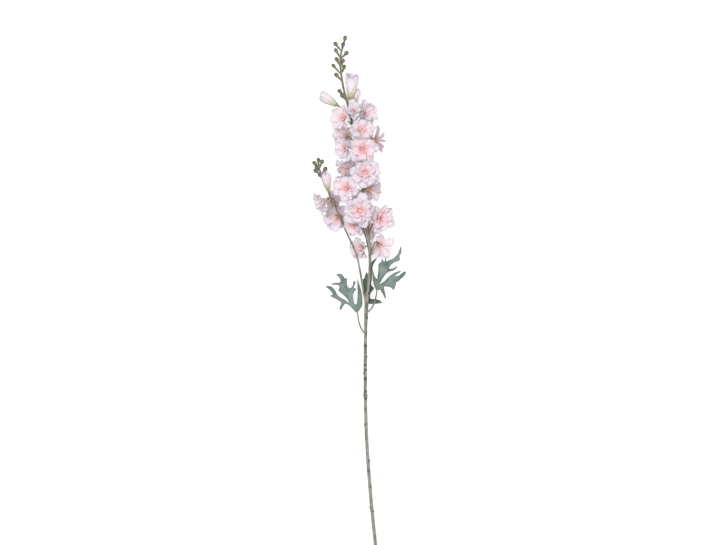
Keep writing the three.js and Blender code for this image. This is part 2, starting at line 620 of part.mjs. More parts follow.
// The stem with its side shoot, their stalks and their small green buds, grown as one.
function stemSolid() {
  const parts = [stalk(stemCurve, (u, centre) => between(STEM_RADIUS, centre.y), 6, 28)];
  parts.push(stalk(shootCurve, (u, centre) => between(SHOOT_RADIUS, centre.y), 5, 12));
  for (const piece of BLOOMS.concat(BUDS)) {
    const length = (BUDS.includes(piece) ? BUD_CALYX : CALYX) * piece.radius;
    parts.push(flowerStalk(onShoot(piece) ? shootCurve : stemCurve, piece, length));
  }
  for (const bud of TIP_BUDS) parts.push(greenBud(stemCurve, bud));
  for (const bud of SHOOT_BUDS) parts.push(greenBud(shootCurve, bud));
  for (const mark of SCARS) parts.push(scar(mark));
  for (const name of Object.keys(LEAF_STALKS)) parts.push(leafStalk(name));
  return fuse(parts);
}

const solids = { stem: [stemSolid(), colour.stem] };
for (const bloom of BLOOMS) solids[bloom.name] = [bloomSolid(bloom), colour.petal];
for (const bud of BUDS) solids[bud.name] = [budSolid(bud), colour.bud];
for (const [name, leaf] of Object.entries(LEAVES)) solids[name] = [leafSolid(leaf), colour.leaf];

const group = new THREE.Group();
for (const [name, [solid, material]] of Object.entries(solids)) {
  const mesh = new THREE.Mesh(geometryOf(fuse([solid.subtract(surface)])), material);
  mesh.name = name;
  group.add(mesh);
}

// The origin is on the surface, below the middle of the whole spike.
const box = new THREE.Box3().setFromObject(group);
const middle = box.getCenter(new THREE.Vector3());
group.position.set(-middle.x, -middle.y, -box.min.z);
group.updateMatrixWorld(true);

export default group;
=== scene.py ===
import math

import bpy
import numpy as np
from mathutils.geometry import delaunay_2d_cdt
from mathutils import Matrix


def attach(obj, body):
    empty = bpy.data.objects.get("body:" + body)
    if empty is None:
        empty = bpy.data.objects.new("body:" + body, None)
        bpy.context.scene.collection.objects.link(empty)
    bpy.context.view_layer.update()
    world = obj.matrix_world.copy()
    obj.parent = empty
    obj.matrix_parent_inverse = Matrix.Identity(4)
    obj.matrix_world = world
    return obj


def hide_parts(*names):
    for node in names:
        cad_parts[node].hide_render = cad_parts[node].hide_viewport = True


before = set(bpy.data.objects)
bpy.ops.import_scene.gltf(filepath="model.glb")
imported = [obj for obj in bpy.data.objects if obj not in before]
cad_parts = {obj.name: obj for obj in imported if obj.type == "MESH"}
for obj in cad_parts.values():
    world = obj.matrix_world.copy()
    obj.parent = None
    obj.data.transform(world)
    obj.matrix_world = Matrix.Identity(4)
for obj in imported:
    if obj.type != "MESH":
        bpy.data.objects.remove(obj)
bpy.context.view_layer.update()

# ---- sizes, in millimetres -------------------------------------------------------------------
# The spike is laid out with its cut end at y = 0, and each piece is then brought to the frame.

MM = 0.001
TO_FRAME = np.array([10.453, -435.657, 0.0])
CLOTH = 0.36  # thickness of a petal
LEAF_CLOTH = 0.5  # thickness of a leaf
CROWD_GAP = -1.2  # below 0, so that the petals of two blooms reach in between each other
CROWD_SOFT = 3.0  # depth over which a petal turns aside before a neighbour
CROWD_PASSES = 4  # how often a petal is moved behind all its neighbours in turn
NEARBY = 2  # how far past touching a neighbour still counts
STALK_ROOM = 0.8  # room kept before a stem or a pale bud
TURN_UP = 0.6  # share of the room that a petal gives up which it gains by turning up
TURN_OUT = 0.6  # how far it turns outwards as it does so, to 1 forwards
FLOOR_SOFT = 1.2  # depth over the table in which a petal is flattened
CALYX = 0.3  # length of a calyx, as a share of its bloom's radius
BUD_CALYX = 0.14  # the same for a pale bud

STEM_LINE = [
    (18.5, 0, 2.8), (9.2, 94, 9), (1.7, 205, 17), (0, 316, 25), (2, 417, 32.5), (8, 487, 37),
    (4.7, 541, 39), (-4.2, 615, 40), (-13.4, 682, 40), (-26, 741, 40), (-38, 790, 39),
    (-42, 833, 38), (-34.5, 865, 37),
]
SHOOT_LINE = [
    (1.7, 418, 33.5), (-3.4, 443.5, 37), (-9.1, 477, 40), (-14.6, 502, 41), (-24.7, 526, 42),
    (-34.4, 546, 43), (-44.4, 569.5, 44), (-55.3, 594, 44), (-63.5, 613, 42), (-72, 633, 37),
    (-79, 653, 35.5),
]
STEM_RADIUS = [(0, 2.3), (380, 2.3), (418, 2.8), (445, 2.1), (640, 1.8), (740, 1.6), (870, 1.1)]
SHOOT_RADIUS = [(418, 1.9), (520, 1.5), (655, 1.0)]
STEM_COAT = [(0, 1.24), (600, 1.2), (780, 1.28)]  # times that with the plastic moulded over it
# Scars where leaves were cut off: height, side (0 is on top), and shade, which is dark over 1.
SCARS = [
    (68, 0.7, 1.8), (75, -0.9, 0), (110, 0.5, 1.3), (155, 0.75, 2), (216, -0.6, 1.8), (260, 0.1, 1.8),
    (265, -0.8, 0), (265, 0.8, 0), (272, 0.5, 1.6), (294, 0.2, 1.6), (303, -0.75, 1.8), (309, 0.3, 1.5),
    (317, 0, 1.8), (331, 0.9, 0), (349, 0.3, 1.5), (396, 0.7, 1.7), (438, 0.75, 1.8),
]
SCAR_SIZE = (1.6, 2.0, 1.4)
SCAR_OUT = 0.9  # how far out its middle lies, in radii of the stem
SCAR_SWELL = 0.35  # how much thicker the stem is there
SCAR_REACH = 2.2  # how far that swelling runs along the stem
FLOWER_STALK = (1.25, 1.05)  # radius at the root and at the head
LEAF_STALK = (1.5, 1.1, 0.3)  # the same, and where it ends under the middle rib of the leaf
BUD_STALK = (1.4, 1.3, 2.3)  # the same for a small green bud, which widens into it
# Tone of the paint along each stalk, from 0 to 1: 0 is the grey of the stem and 1 is brown.
STEM_TONE = [(0, 0), (0.45, 0), (0.6, 0.1), (0.66, 0.5), (0.8, 0.7), (1, 0.85)]
SHOOT_TONE = [(0, 0), (0.25, 0.15), (0.45, 0.55), (0.7, 0.6), (1, 0.5)]
FLOWER_TONE = [(0, 0.45), (0.3, 0.65), (1, 0.9)]
PALE_BUD_TONE = [(0, 0.5), (1, 0.35)]
LEAF_TONE = [(0, 0.25), (1, 0.6)]
GREEN_BUD_TONE = [(0, 0.5), (1, 0.6)]

# Blooms: name, height of the stalk's root, throat, way it looks, radius, cup, turn, and blush,
# which is how far the coral of the throat has run into the petals.
BLOOMS = [
    ("bloom_01", 499, (22, 521, 42), (0.3, -0.4, -0.8), 26, 0.2, 0.1, 0.7),
    ("bloom_02", 499, (-3, 516, 23), (-0.7, -0.2, 0.68), 24, 0.2, 0.3, 0.45),
    ("bloom_03", 535, (22.5, 563, 48), (0.4, 0, 0.92), 27, 0.12, 0.6, 1.0),
    ("bloom_04", 556, (-9, 577, 56), (0, -0.05, 1), 32, 0.08, 0, 0.6),
    ("bloom_05", 500, (-17, 554, 42), (-0.35, -0.45, 0.75), 23, 0.25, 0.4, 0.6),
    ("bloom_06", 597, (-30, 615, 51), (-0.35, 0, 0.92), 26, 0.12, 0.8, 0.75),
    ("bloom_07", 593, (3, 613, 42), (0.8, -0.1, -0.55), 26, 0.2, 0.2, 0.1),
    ("bloom_08", 617, (-1, 640, 57), (0.1, 0.1, 1), 30, 0.08, 0.5, 0.5),
    ("bloom_09", 632, (-26, 648, 42), (-0.8, -0.35, 0.2), 28, 0.28, 0.7, 1.0),
    ("bloom_10", 662, (-4, 680, 55), (0.1, -0.1, 1), 29, 0.15, 0.15, 0.85),
    ("bloom_11", 668, (-31, 682, 47), (-0.6, -0.15, 0.75), 25, 0.25, 0.45, 0.35),
    ("bloom_12", 690, (-32, 702, 38), (-0.45, 0.2, -0.85), 24, 0.2, 0.9, 0.5),
    ("bloom_13", 696, (-7, 711, 55), (0.1, 0.1, 0.98), 26, 0.2, 0.65, 0.45),
    ("bloom_14", 683, (13, 696, 38), (0.6, -0.15, -0.78), 25, 0.1, 0.4, 0.1),
    ("bloom_15", 718, (-35, 732, 46), (-0.35, 0.05, 0.92), 25, 0.18, 0.05, 0.55),
    ("bloom_16", 728, (-18, 741.5, 53.5), (0.05, 0.2, 0.95), 22, 0.3, 0.55, 0.1),
    ("bloom_17", 726, (-4, 739, 47), (0.45, 0.15, 0.85), 26, 0.2, 0.25, 0.15),
    ("bloom_18", 530, (3, 550, 15.5), (0.25, -0.1, -0.95), 24, 0.42, 0.75, 0.6),
    ("bloom_19", 574, (-7, 592, 15.5), (-0.1, 0.1, -0.97), 24, 0.42, 0.95, 0.5),
    ("bloom_20", 630, (-20, 645, 15.5), (-0.25, 0.1, -0.95), 26, 0.42, 0.4, 0.6),
    ("bloom_21", 694, (-5, 708, 15.5), (0.3, 0.1, -0.93), 24, 0.42, 0.1, 0.5),
    ("side_bloom_1", 577, (-66, 595, 44), (-0.85, -0.4, 0.25), 26, 0.22, 0.5, 0.05),
    ("side_bloom_2", 583, (-57, 594, 27), (0.1, -0.1, -0.95), 21, 0.4, 0.2, 0.3),
    ("side_bloom_3", 547, (-45, 568, 19), (-0.2, -0.2, -0.93), 29, 0.22, 0.85, 0.35),
]
# Pale buds: name, height of the stalk's root, foot, way it points, length, closed, turn, blush.
BUDS = [
    ("bud_left", 742, (-47.5, 754.5, 41), (-0.84, 0.54, 0), 35, 0.4, 0.2, 0.2),
    ("bud_top", 752, (-26, 764, 42), (0.1, 0.99, 0.05), 45, 0.0, 0.6, 0.2),
    ("bud_right", 746, (-18, 758, 34), (0.17, 0.98, -0.1), 26, 0.7, 0.4, 0.5),
    ("side_bud", 600, (-62.5, 611, 49), (-0.17, 0.97, 0.12), 32, 0.9, 0.1, 0.6),
]
# Small green buds: x, y, z of each, and the height at which its stalk leaves.
TIP_BUDS = [
    (-34.2, 867.6, 37, 860), (-50, 857.3, 39.5, 845), (-37.5, 856, 42, 847),
    (-49.6, 847, 34.5, 834), (-31.9, 842, 38, 832), (-48, 831, 42.5, 820),
    (-37.6, 829.6, 32.5, 818), (-53.4, 820.7, 38, 806), (-36, 818.3, 42.5, 806),
    (-48.7, 805.6, 35.5, 794), (-43, 777.5, 43, 768), (-39.5, 771, 33, 762),
]
SHOOT_BUDS = [
    (-85.5, 657, 37, 650), (-79, 662, 38.5, 652), (-73, 659.5, 34, 648), (-83.5, 644, 39, 637),
    (-77, 637.5, 31.5, 629), (-67.5, 647, 39, 637), (-82, 650.5, 32, 643),
]
GREEN_BUD = 3.4  # radius
GREEN_BUD_BACK = 1.7  # how far each lies behind and before its place, in radii
GREEN_BUD_AHEAD = 1.3
GREEN_BUD_RIBS = 5
STALK_SWEEP = 0.4  # share of a flower's stalk in which it turns to the way the flower looks

# Leaves: foot, slope, droop at LEAF_REACH from the foot, outline, and lines of the ribs.
LEAF_REACH = 60
LEAF_STEP = 1.3  # distance between the points inside a leaf
RIB_DEPTH = 0.4
RIB_HALF = 0.8  # half width of the groove over a rib
PILLOW = 0.3  # how far the cloth stands up between ribs
BUCKLE = 0.35  # height of the loose waves in it
FOOT_SHADE_REACH = 12  # length at the foot over which the cloth is painted darker, as shade
EDGE_STEPS = 14  # points of the cut edge for each that is given
EDGE_PULL = 0.6  # under 1, so that the edge turns more sharply at those
LEAF_TAIL = 12  # how many of the PATH_STEPS of its middle rib a leaf's stalk runs under
UNDER_LEAF = 0.5  # how far below the leaf it does so
LEAVES = {
    "leaf_left": (
        (-12.8, 405.6, 31), 0.05, 4.5,
        [(-12, 407), (-15, 405), (-21, 411.5), (-28, 418), (-33.5, 420.5), (-37.5, 416), (-40, 410.5),
         (-43, 410), (-43.3, 414), (-41, 419.5), (-40.5, 423), (-46.5, 426.5), (-54, 430.5),
         (-59, 433.5), (-54.5, 436.5), (-57.5, 440.5), (-62, 445.3), (-66.8, 448.8), (-65, 450.2),
         (-58.5, 450), (-54.3, 447), (-50, 441.5), (-47.5, 436), (-42, 431), (-34, 426.5), (-28, 422),
         (-29, 426.5), (-33.5, 432), (-40.5, 438), (-45.3, 443), (-43.3, 448.5), (-45, 451.3),
         (-51, 452.3), (-56.5, 452.3), (-56.3, 454.2), (-50.5, 455.8), (-44, 456), (-41.5, 458.3),
         (-43, 463), (-46.5, 467), (-48.5, 469.8), (-45, 471), (-40, 470.3), (-36.7, 467),
         (-34.8, 463.5), (-30.8, 463), (-31.2, 456), (-29.6, 449), (-26.7, 446.5), (-23, 448.2),
         (-20.8, 452.4), (-20.2, 457.7), (-17.8, 458.8), (-16.1, 456.5), (-17.8, 452), (-19.5, 448),
         (-15.1, 444.7), (-19, 440), (-20.8, 434.5), (-20.2, 426.5), (-17.5, 419.5), (-14.8, 419.5),
         (-13.5, 426.5), (-12.8, 438), (-13.5, 452), (-12.8, 462.5), (-11.2, 457), (-9, 450),
         (-6.6, 440.5), (-4.9, 429), (-5, 418), (-9, 411)],
        [[(-13, 406), (-19, 414), (-27, 421.5), (-36, 425), (-48, 434), (-65, 448.5)],
         [(-34, 424), (-40, 420), (-43, 412)], [(-48, 433), (-56, 434)],
         [(-13, 406), (-19, 418), (-26, 430), (-35, 445), (-46, 469)],
         [(-35, 445), (-43, 453), (-54, 453)], [(-15, 412), (-20, 425), (-23, 438), (-20, 457)],
         [(-13, 406), (-11, 412), (-10, 425), (-12, 440), (-13, 462)]],
    ),
    "leaf_right": (
        (19.6, 442.35, 38), 0.02, 5,
        [(18.5, 443), (15, 451), (13, 459), (12, 469), (12, 480), (16, 466), (20, 462), (21, 469),
         (21.9, 478), (22.5, 487.5), (26.3, 490.7), (28, 493.6), (29, 496.8), (30.6, 492.4),
         (32.4, 490.7), (34, 498.8), (36, 491.5), (40.5, 493.6), (48.5, 497.7), (54.5, 504.2),
         (57.6, 511.3), (60, 517.8), (61.2, 512.5), (60.5, 505.4), (57.6, 499.5), (58.8, 494.2),
         (55.3, 492.4), (48.8, 490), (42.9, 485.3), (39.8, 480.3), (43, 479), (47.6, 480.3), (54, 484),
         (51.7, 479.3), (46.4, 475.9), (41.7, 475), (36, 472), (30, 464), (26, 457), (24, 453.5),
         (26.5, 454.5), (32.3, 458.3), (37, 463), (44, 469), (50, 473), (58.8, 475.8), (60, 474.5),
         (55, 471), (49.8, 467.2), (56, 467.7), (61.8, 472.2), (66.5, 475), (68.8, 473.5),
         (65.9, 467.7), (59.4, 461.8), (54.7, 457.1), (52, 457), (51, 451), (47.6, 443.5), (44, 447),
         (39.3, 449), (31.7, 449.2), (32.3, 443), (34, 436), (35, 429.4), (33, 429.4), (30.5, 434.7),
         (27, 440.6), (25, 444), (21, 443)],
        [[(19.6, 442.4), (20, 448), (23, 460), (30, 474), (40, 486), (60, 515)],
         [(19.5, 446), (18, 454), (15, 463), (12.5, 478)], [(26, 466), (27, 478), (29, 496)],
         [(32, 477), (42, 481), (52, 483)], [(40, 486), (50, 490), (58, 493.5)],
         [(19.6, 442.4), (26, 448), (38, 456), (52, 464), (67, 474)],
         [(38, 456), (46, 466), (57, 475)], [(36, 454.5), (43, 451), (46.5, 446)],
         [(22, 444.5), (28, 442), (33.5, 430)]],
    ),
    "leaf_back": (
        (2.5, 419.45, 25), -0.06, 1,
        [(1.5, 420), (-2, 432), (-3, 444), (-4, 462), (-2, 463), (2, 474), (4, 470), (6, 477),
         (11, 491), (20, 498), (14, 487), (12, 480), (11, 460), (10, 452), (15, 446), (9, 438),
         (8, 434), (9, 428.5), (16, 428.2), (24, 426.4), (29, 422), (16, 420), (4, 420)],
        [[(2.5, 420), (3, 430), (5, 450), (8, 470), (13, 485), (19, 497)],
         [(3.5, 438), (0, 452), (-3, 462)], [(3, 421), (10, 424), (27, 422.5)],
         [(4, 434), (9, 441), (14, 446)]],
    ),
}
# Leaf stalks: height of the root and the point that each bends through.
LEAF_STALKS = {
    "leaf_left": (369, (-11.8, 380, 30)),
    "leaf_right": (405, (16, 411, 36)),
    "leaf_back": (401, (2.2, 412, 27.5)),
}

# Layers of a double bloom: petals, reach, half width and height of the root as shares of the
# bloom's radius, lean beyond the cup in degrees, and offset in petals.
LAYERS = [
    (5, 1.0, 0.29, 0.02, 0, 0.0),
    (5, 0.9, 0.26, 0.09, 13, 0.5),
    (5, 0.62, 0.17, 0.13, 30, 0.25),
]
FULL = {"bloom_03", "bloom_04", "bloom_08"}  # blooms whose inner petals are fully grown
CROWDED = {"bloom_04", "bloom_08"}  # blooms with a layer of petals more
CROWDED_LAYER = (6, 0.78, 0.21, 0.11, 21, 0.8)
INNER = 0.6  # size of the inner petals of the others, as a share of those
PETAL_ACROSS = 12  # faces across a petal and along it
PETAL_ALONG = 14
# Width of a petal: at its root, as a share of its widest, where it is widest, where its end
# begins to round, and how far it rounds. The petals of a bud stay broad to their ends.
PETAL_WIDTH = (0.32, 0.72, 0.76, 0.86)
BUD_WIDTH = (0.1, 0.75, 0.8, 0.5)
LEAN_OPEN = 12  # rise of the petals of an open bloom, in degrees
LEAN_SHUT = 82  # the same for a shut one
LEAN_SPREAD = 20  # how far the petals of a layer differ in it
BOW = 1.15  # how much steeper a petal starts than it ends
REACH_SPREAD = 0.24  # how far petals differ in length, as a share
TURN_SPREAD = 0.4  # how far their ends swing aside, in radians
BLUSH_SPREAD = 0.3
NOTCH = 0.09  # how deep the end of a petal may be notched
SHOULDER = 0.06  # how far its corners are cut back
SCALLOP = 0.012  # depth of the small bites along its end
PETAL_SHARE = 1.12  # over 1, so that each petal laps over the next
HOLLOW = 0.2  # how far its sides curl up
# Blooms that are only half unfolded: how far their petals are folded lengthwise, how wide those are as a
# share, and how far painted shade dulls them to a brown pink.
HALF_OPEN = {
    "bloom_07": (1.2, 0.85, 0.35), "bloom_09": (0.8, 0.8, 0.1), "bloom_12": (0.5, 0.9, 0.1),
    "bloom_14": (1.8, 0.5, 0.65), "bloom_16": (0.5, 1.0, 0.0), "bloom_17": (0.25, 1.0, 0.12),
    "side_bloom_1": (0.4, 1.0, 0.0), "side_bloom_2": (1.0, 0.85, 0.5),
}
OPEN = (0, 1, 0)  # the same for all others
TWIST = 0.2
DROOP = 0.1  # how far the end of a petal may fall back, as a share of its length
RUFFLE = 0.08  # height of the one broad wave across its end
RUFFLE_WAVES = 3.0
FRILL = 0.045  # height of the small waves along the cut edge
PLEAT = 0.012  # height of the ribs pressed along a petal
CREASE = 0.02  # depth of the crease down its middle
MIDDLE = 0.3  # height of a bloom's middle over its throat, in radii

BUD_PETALS = 5
BUD_GIRTH = 0.27
BUD_MOUTH = (0.2, 0.05)  # how wide the tip of an open and of a closed bud is
BUD_BELLY = (0.33, 0.42)  # the same for its widest part
BUD_WRAP = 0.85  # half the angle that a petal takes up, in radians
BUD_LAP = 0.9  # how far it spirals out over its neighbour
BUD_NOTCH = 0.05
BUD_SHOULDER = 0.13
BUD_FRILL = 0.02
BUD_CREASE = 0.012
BUD_SHORT = 0.17  # how much shorter an open bud is on its lower side
SEPAL_LENGTH = 0.34  # as a share of the bud's petals
SEPAL_WIDTH = 0.75
SEPAL_OUT = 0.3  # how far outside the petals it lies

STAMENS = 9
STAMEN_TOP = 0.35  # height in radii of the bloom
PATH_STEPS = 60
CURVE_STEPS = 24  # points of a smooth line from each given point to the next


# ---- lines and places ------------------------------------------------------------------------

def vary(seed):
    """A repeatable spread of numbers from -0.5 to 0.5."""
    wide = np.sin(np.asarray(seed, float) * 12.9898) * 43758.5453
    return wide - np.floor(wide) - 0.5


def mix(low, high, share):
    return low + (high - low) * share


def unit(v):
    v = np.asarray(v, float)
    return v / np.linalg.norm(v)


def bezier(a, b, c, d, t):
    u = 1 - t
    return a * u**3 + 3 * b * u * u * t + 3 * c * u * t * t + d * t**3


def even(points, count):
    """A line given by many points, as count + 1 points at even distances."""
    points = np.asarray(points, float)
    far = np.concatenate([[0], np.cumsum(np.linalg.norm(np.diff(points, axis=0), axis=1))])
    at = np.linspace(0, far[-1], count + 1)
    return np.column_stack([np.interp(at, far, points[:, axis]) for axis in range(points.shape[1])])


def smooth_line(points, count, closed=False, pull=1.0):
    """A smooth line through all the points, as count + 1 points at even distances."""
    points = np.asarray(points, float)
    if closed:
        padded = np.vstack([points[-1], points, points[0], points[1]])
    else:
        padded = np.vstack([2 * points[0] - points[1], points, 2 * points[-1] - points[-2]])
    fine = []
    for p0, p1, p2, p3 in zip(padded, padded[1:], padded[2:], padded[3:]):
        d0, d1, d2 = (np.linalg.norm(b - a) ** 0.5 for a, b in ((p0, p1), (p1, p2), (p2, p3)))
        m1 = ((p1 - p0) / d0 - (p2 - p0) / (d0 + d1) + (p2 - p1) / d1) * d1
        m2 = ((p2 - p1) / d1 - (p3 - p1) / (d1 + d2) + (p3 - p2) / d2) * d1
        m1, m2 = pull * m1, pull * m2
        for w in np.linspace(0, 1, CURVE_STEPS, endpoint=False):
            bend = (3 * (p2 - p1) - 2 * m1 - m2) * w**2 + (2 * (p1 - p2) + m1 + m2) * w**3
            fine.append(p1 + m1 * w + bend)
    fine.append(points[0] if closed else points[-1])
    return even(fine, count)


def arc(start, bend, end, count):
    """A curve from start to end that is drawn towards bend."""
    t = np.linspace(0, 1, count + 1)[:, None]
    start, bend, end = (np.asarray(place) for place in (start, bend, end))
    return (1 - t) ** 2 * start + 2 * t * (1 - t) * bend + t * t * end


def at_height(line, y):
    return np.array([np.interp(y, line[:, 1], line[:, axis]) for axis in range(3)])


def from_table(table, place):
    return np.interp(place, [row[0] for row in table], [row[1] for row in table])


STEM = smooth_line(STEM_LINE, 400)
SHOOT = smooth_line(SHOOT_LINE, 200)


class Head:
    """A bloom or a pale bud with its own axes: it looks along forward."""

    def __init__(self, name, root, at, facing, radius, cup, turn, blush, seed):
        self.name, self.root, self.radius = name, root, float(radius)
        self.cup, self.turn, self.blush, self.seed = cup, turn, blush, seed
        self.at = np.array(at, float)
        self.forward = unit(facing)
        side = np.cross((0, 1, 0), self.forward)
        if np.linalg.norm(side) < 0.2:
            side = np.array([1.0, 0, 0]) - self.forward * self.forward[0]
        side = unit(side)
        self.axes = np.array([side, np.cross(self.forward, side), self.forward])
        self.heart = self.at + MIDDLE * self.radius * self.forward
        self.line = SHOOT if name.startswith("side_") else STEM

    def place(self, points):
        return np.asarray(points) @ self.axes + self.at


blooms = [Head(*row, seed=i + 1) for i, row in enumerate(BLOOMS)]
buds = [Head(*row, seed=i + 41) for i, row in enumerate(BUDS)]


def limits_of(bloom):
    """What a bloom gives way to: planes halfway to its neighbours and before stems and buds."""
    limits = []
    for other in blooms:
        apart = other.heart - bloom.heart
        far = np.linalg.norm(apart)
        room = bloom.radius + other.radius
        if other is not bloom and far <= room + NEARBY:
            limits.append((apart / far, far * bloom.radius / room - CROWD_GAP))
    lines = [(even([b.at, b.place((0, 0, b.radius))], 200), None, BUD_GIRTH * b.radius) for b in buds]
    lines += [(STEM, STEM_RADIUS, 0), (SHOOT, SHOOT_RADIUS, 0)]
    for line, table, thick in lines:
        near = line[np.argmin(np.linalg.norm(line - bloom.heart, axis=1))]
        apart = near - bloom.heart
        far = np.linalg.norm(apart)
        reach = far - (from_table(table, near[1]) if table else thick) - STALK_ROOM
        if reach < bloom.radius + NEARBY:
            limits.append((apart / far, reach))
    return limits


def give_way(bloom, points):
    """Turns petals aside where they would pass a limit, and flattens them along the table. They
    start to turn some way before it, and the passes after the first only hold them behind it."""
    floor = (np.array([0, 0, -1.0]), None)
    for turn in range(CROWD_PASSES):
        for normal, reach in [floor] + bloom.limits:
            if reach is None:
                inside = CLOTH / 2 - points[:, 2]
            else:
                inside = (points - bloom.heart) @ normal - reach
            if turn > 0:
                points = points - np.maximum(0, inside)[:, None] * normal
                continue
            soft = FLOOR_SOFT if reach is None else CROWD_SOFT
            spare = np.maximum(inside + soft, 0)
            lost = np.where(spare > 0, inside + soft * np.exp(-spare / soft), 0)[:, None]
            points = points - lost * normal
            slide = (points - bloom.heart) * TURN_OUT / bloom.radius + bloom.forward
            slide = slide - (slide @ normal)[:, None] * normal
            points = points + TURN_UP * lost * slide
    return points


for bloom in blooms:
    bloom.limits = limits_of(bloom)


# ---- making pieces ---------------------------------------------------------------------------

def take(obj):
    """Selects one object alone and makes it the active one."""
    bpy.ops.object.select_all(action="DESELECT")
    obj.select_set(True)
    bpy.context.view_layer.objects.active = obj
    return obj


def new_piece(add, **settings):
    """What an operator adds, selected alone."""
    bpy.ops.object.select_all(action="DESELECT")
    add(**settings)
    return take(bpy.context.object)


def joined(objects, name):
    take(objects[0])
    for obj in objects:
        obj.select_set(True)
    if len(objects) > 1:
        bpy.ops.object.join()
    objects[0].name = objects[0].data.name = name
    return objects[0]


def coords(obj):
    points = np.empty(len(obj.data.vertices) * 3)
    obj.data.vertices.foreach_get("co", points)
    return points.reshape(-1, 3)


def normals(obj):
    found = np.empty(len(obj.data.vertices) * 3)
    obj.data.vertex_normals.foreach_get("vector", found)
    return found.reshape(-1, 3)


def lay(obj, points):
    """Puts a piece's vertices where the spike has them."""
    obj.data.vertices.foreach_set("co", ((np.asarray(points) + TO_FRAME) * MM).ravel())
    obj.data.update()


def own_copy(blank, name):
    copy = blank.copy()
    copy.data = blank.data.copy()
    copy.name = copy.data.name = name
    bpy.context.scene.collection.objects.link(copy)
    return copy


def apply_all(obj):
    take(obj)
    for modifier in list(obj.modifiers):
        bpy.ops.object.modifier_apply(modifier=modifier.name)


def note(obj, name, values):
    """Keeps a number for each vertex under a name, for the finish to read."""
    layer = obj.data.attributes.get(name) or obj.data.attributes.new(name, "FLOAT", "POINT")
    values = np.broadcast_to(np.asarray(values, float), len(obj.data.vertices))
    layer.data.foreach_set("value", np.ascontiguousarray(values))


def smooth(obj, degrees):
    """Shades a piece smooth, but for the edges where it turns by more than this."""
    take(obj)
    bpy.ops.object.shade_smooth_by_angle(angle=math.radians(degrees))


def thicken(obj, thickness):
    """Gives a sheet its thickness, half to each side."""
    wall = obj.modifiers.new("cloth", "SOLIDIFY")
    wall.thickness = thickness * MM
    wall.offset = 0
    apply_all(obj)
    smooth(obj, 50)


def finish(obj, slot, material, *nodes):
    """Gives a piece its material, hides the solids that it replaces, and hangs it from the root body."""
    obj.data.materials.clear()
    obj.data.materials.append(material)
    if nodes:
        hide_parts(*nodes)
    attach(obj, "root")


# ---- finishes --------------------------------------------------------------------------------

def tint(code):
    """An sRGB hex colour as linear light."""
    parts = [int(code[i:i + 2], 16) / 255 for i in (0, 2, 4)]
    return [p / 12.92 if p <= 0.04045 else ((p + 0.055) / 1.055) ** 2.4 for p in parts] + [1.0]


def node(tree, kind, inputs=None, stops=(), out=0, **settings):
    """Adds a node with its settings, its links and fixed inputs, and the stops of a ramp, and
    gives the output that is asked for."""
    made = tree.nodes.new("ShaderNode" + kind)
    for key, value in settings.items():
        setattr(made, key, value)
    for key, value in (inputs or {}).items():
        if isinstance(value, bpy.types.NodeSocket):
            tree.links.new(value, made.inputs[key])
        else:
            made.inputs[key].default_value = value
    if stops:
        ramp = made.color_ramp
        while len(ramp.elements) < len(stops):
            ramp.elements.new(1.0)
        for element, (place, colour) in zip(ramp.elements, stops):
            element.position = place
            element.color = tint(colour)
    return made.outputs[out] if made.outputs else None


def new_finish(name):
    material = bpy.data.materials.new(name)
    material.use_nodes = True
    material.node_tree.nodes.clear()
    return material, material.node_tree


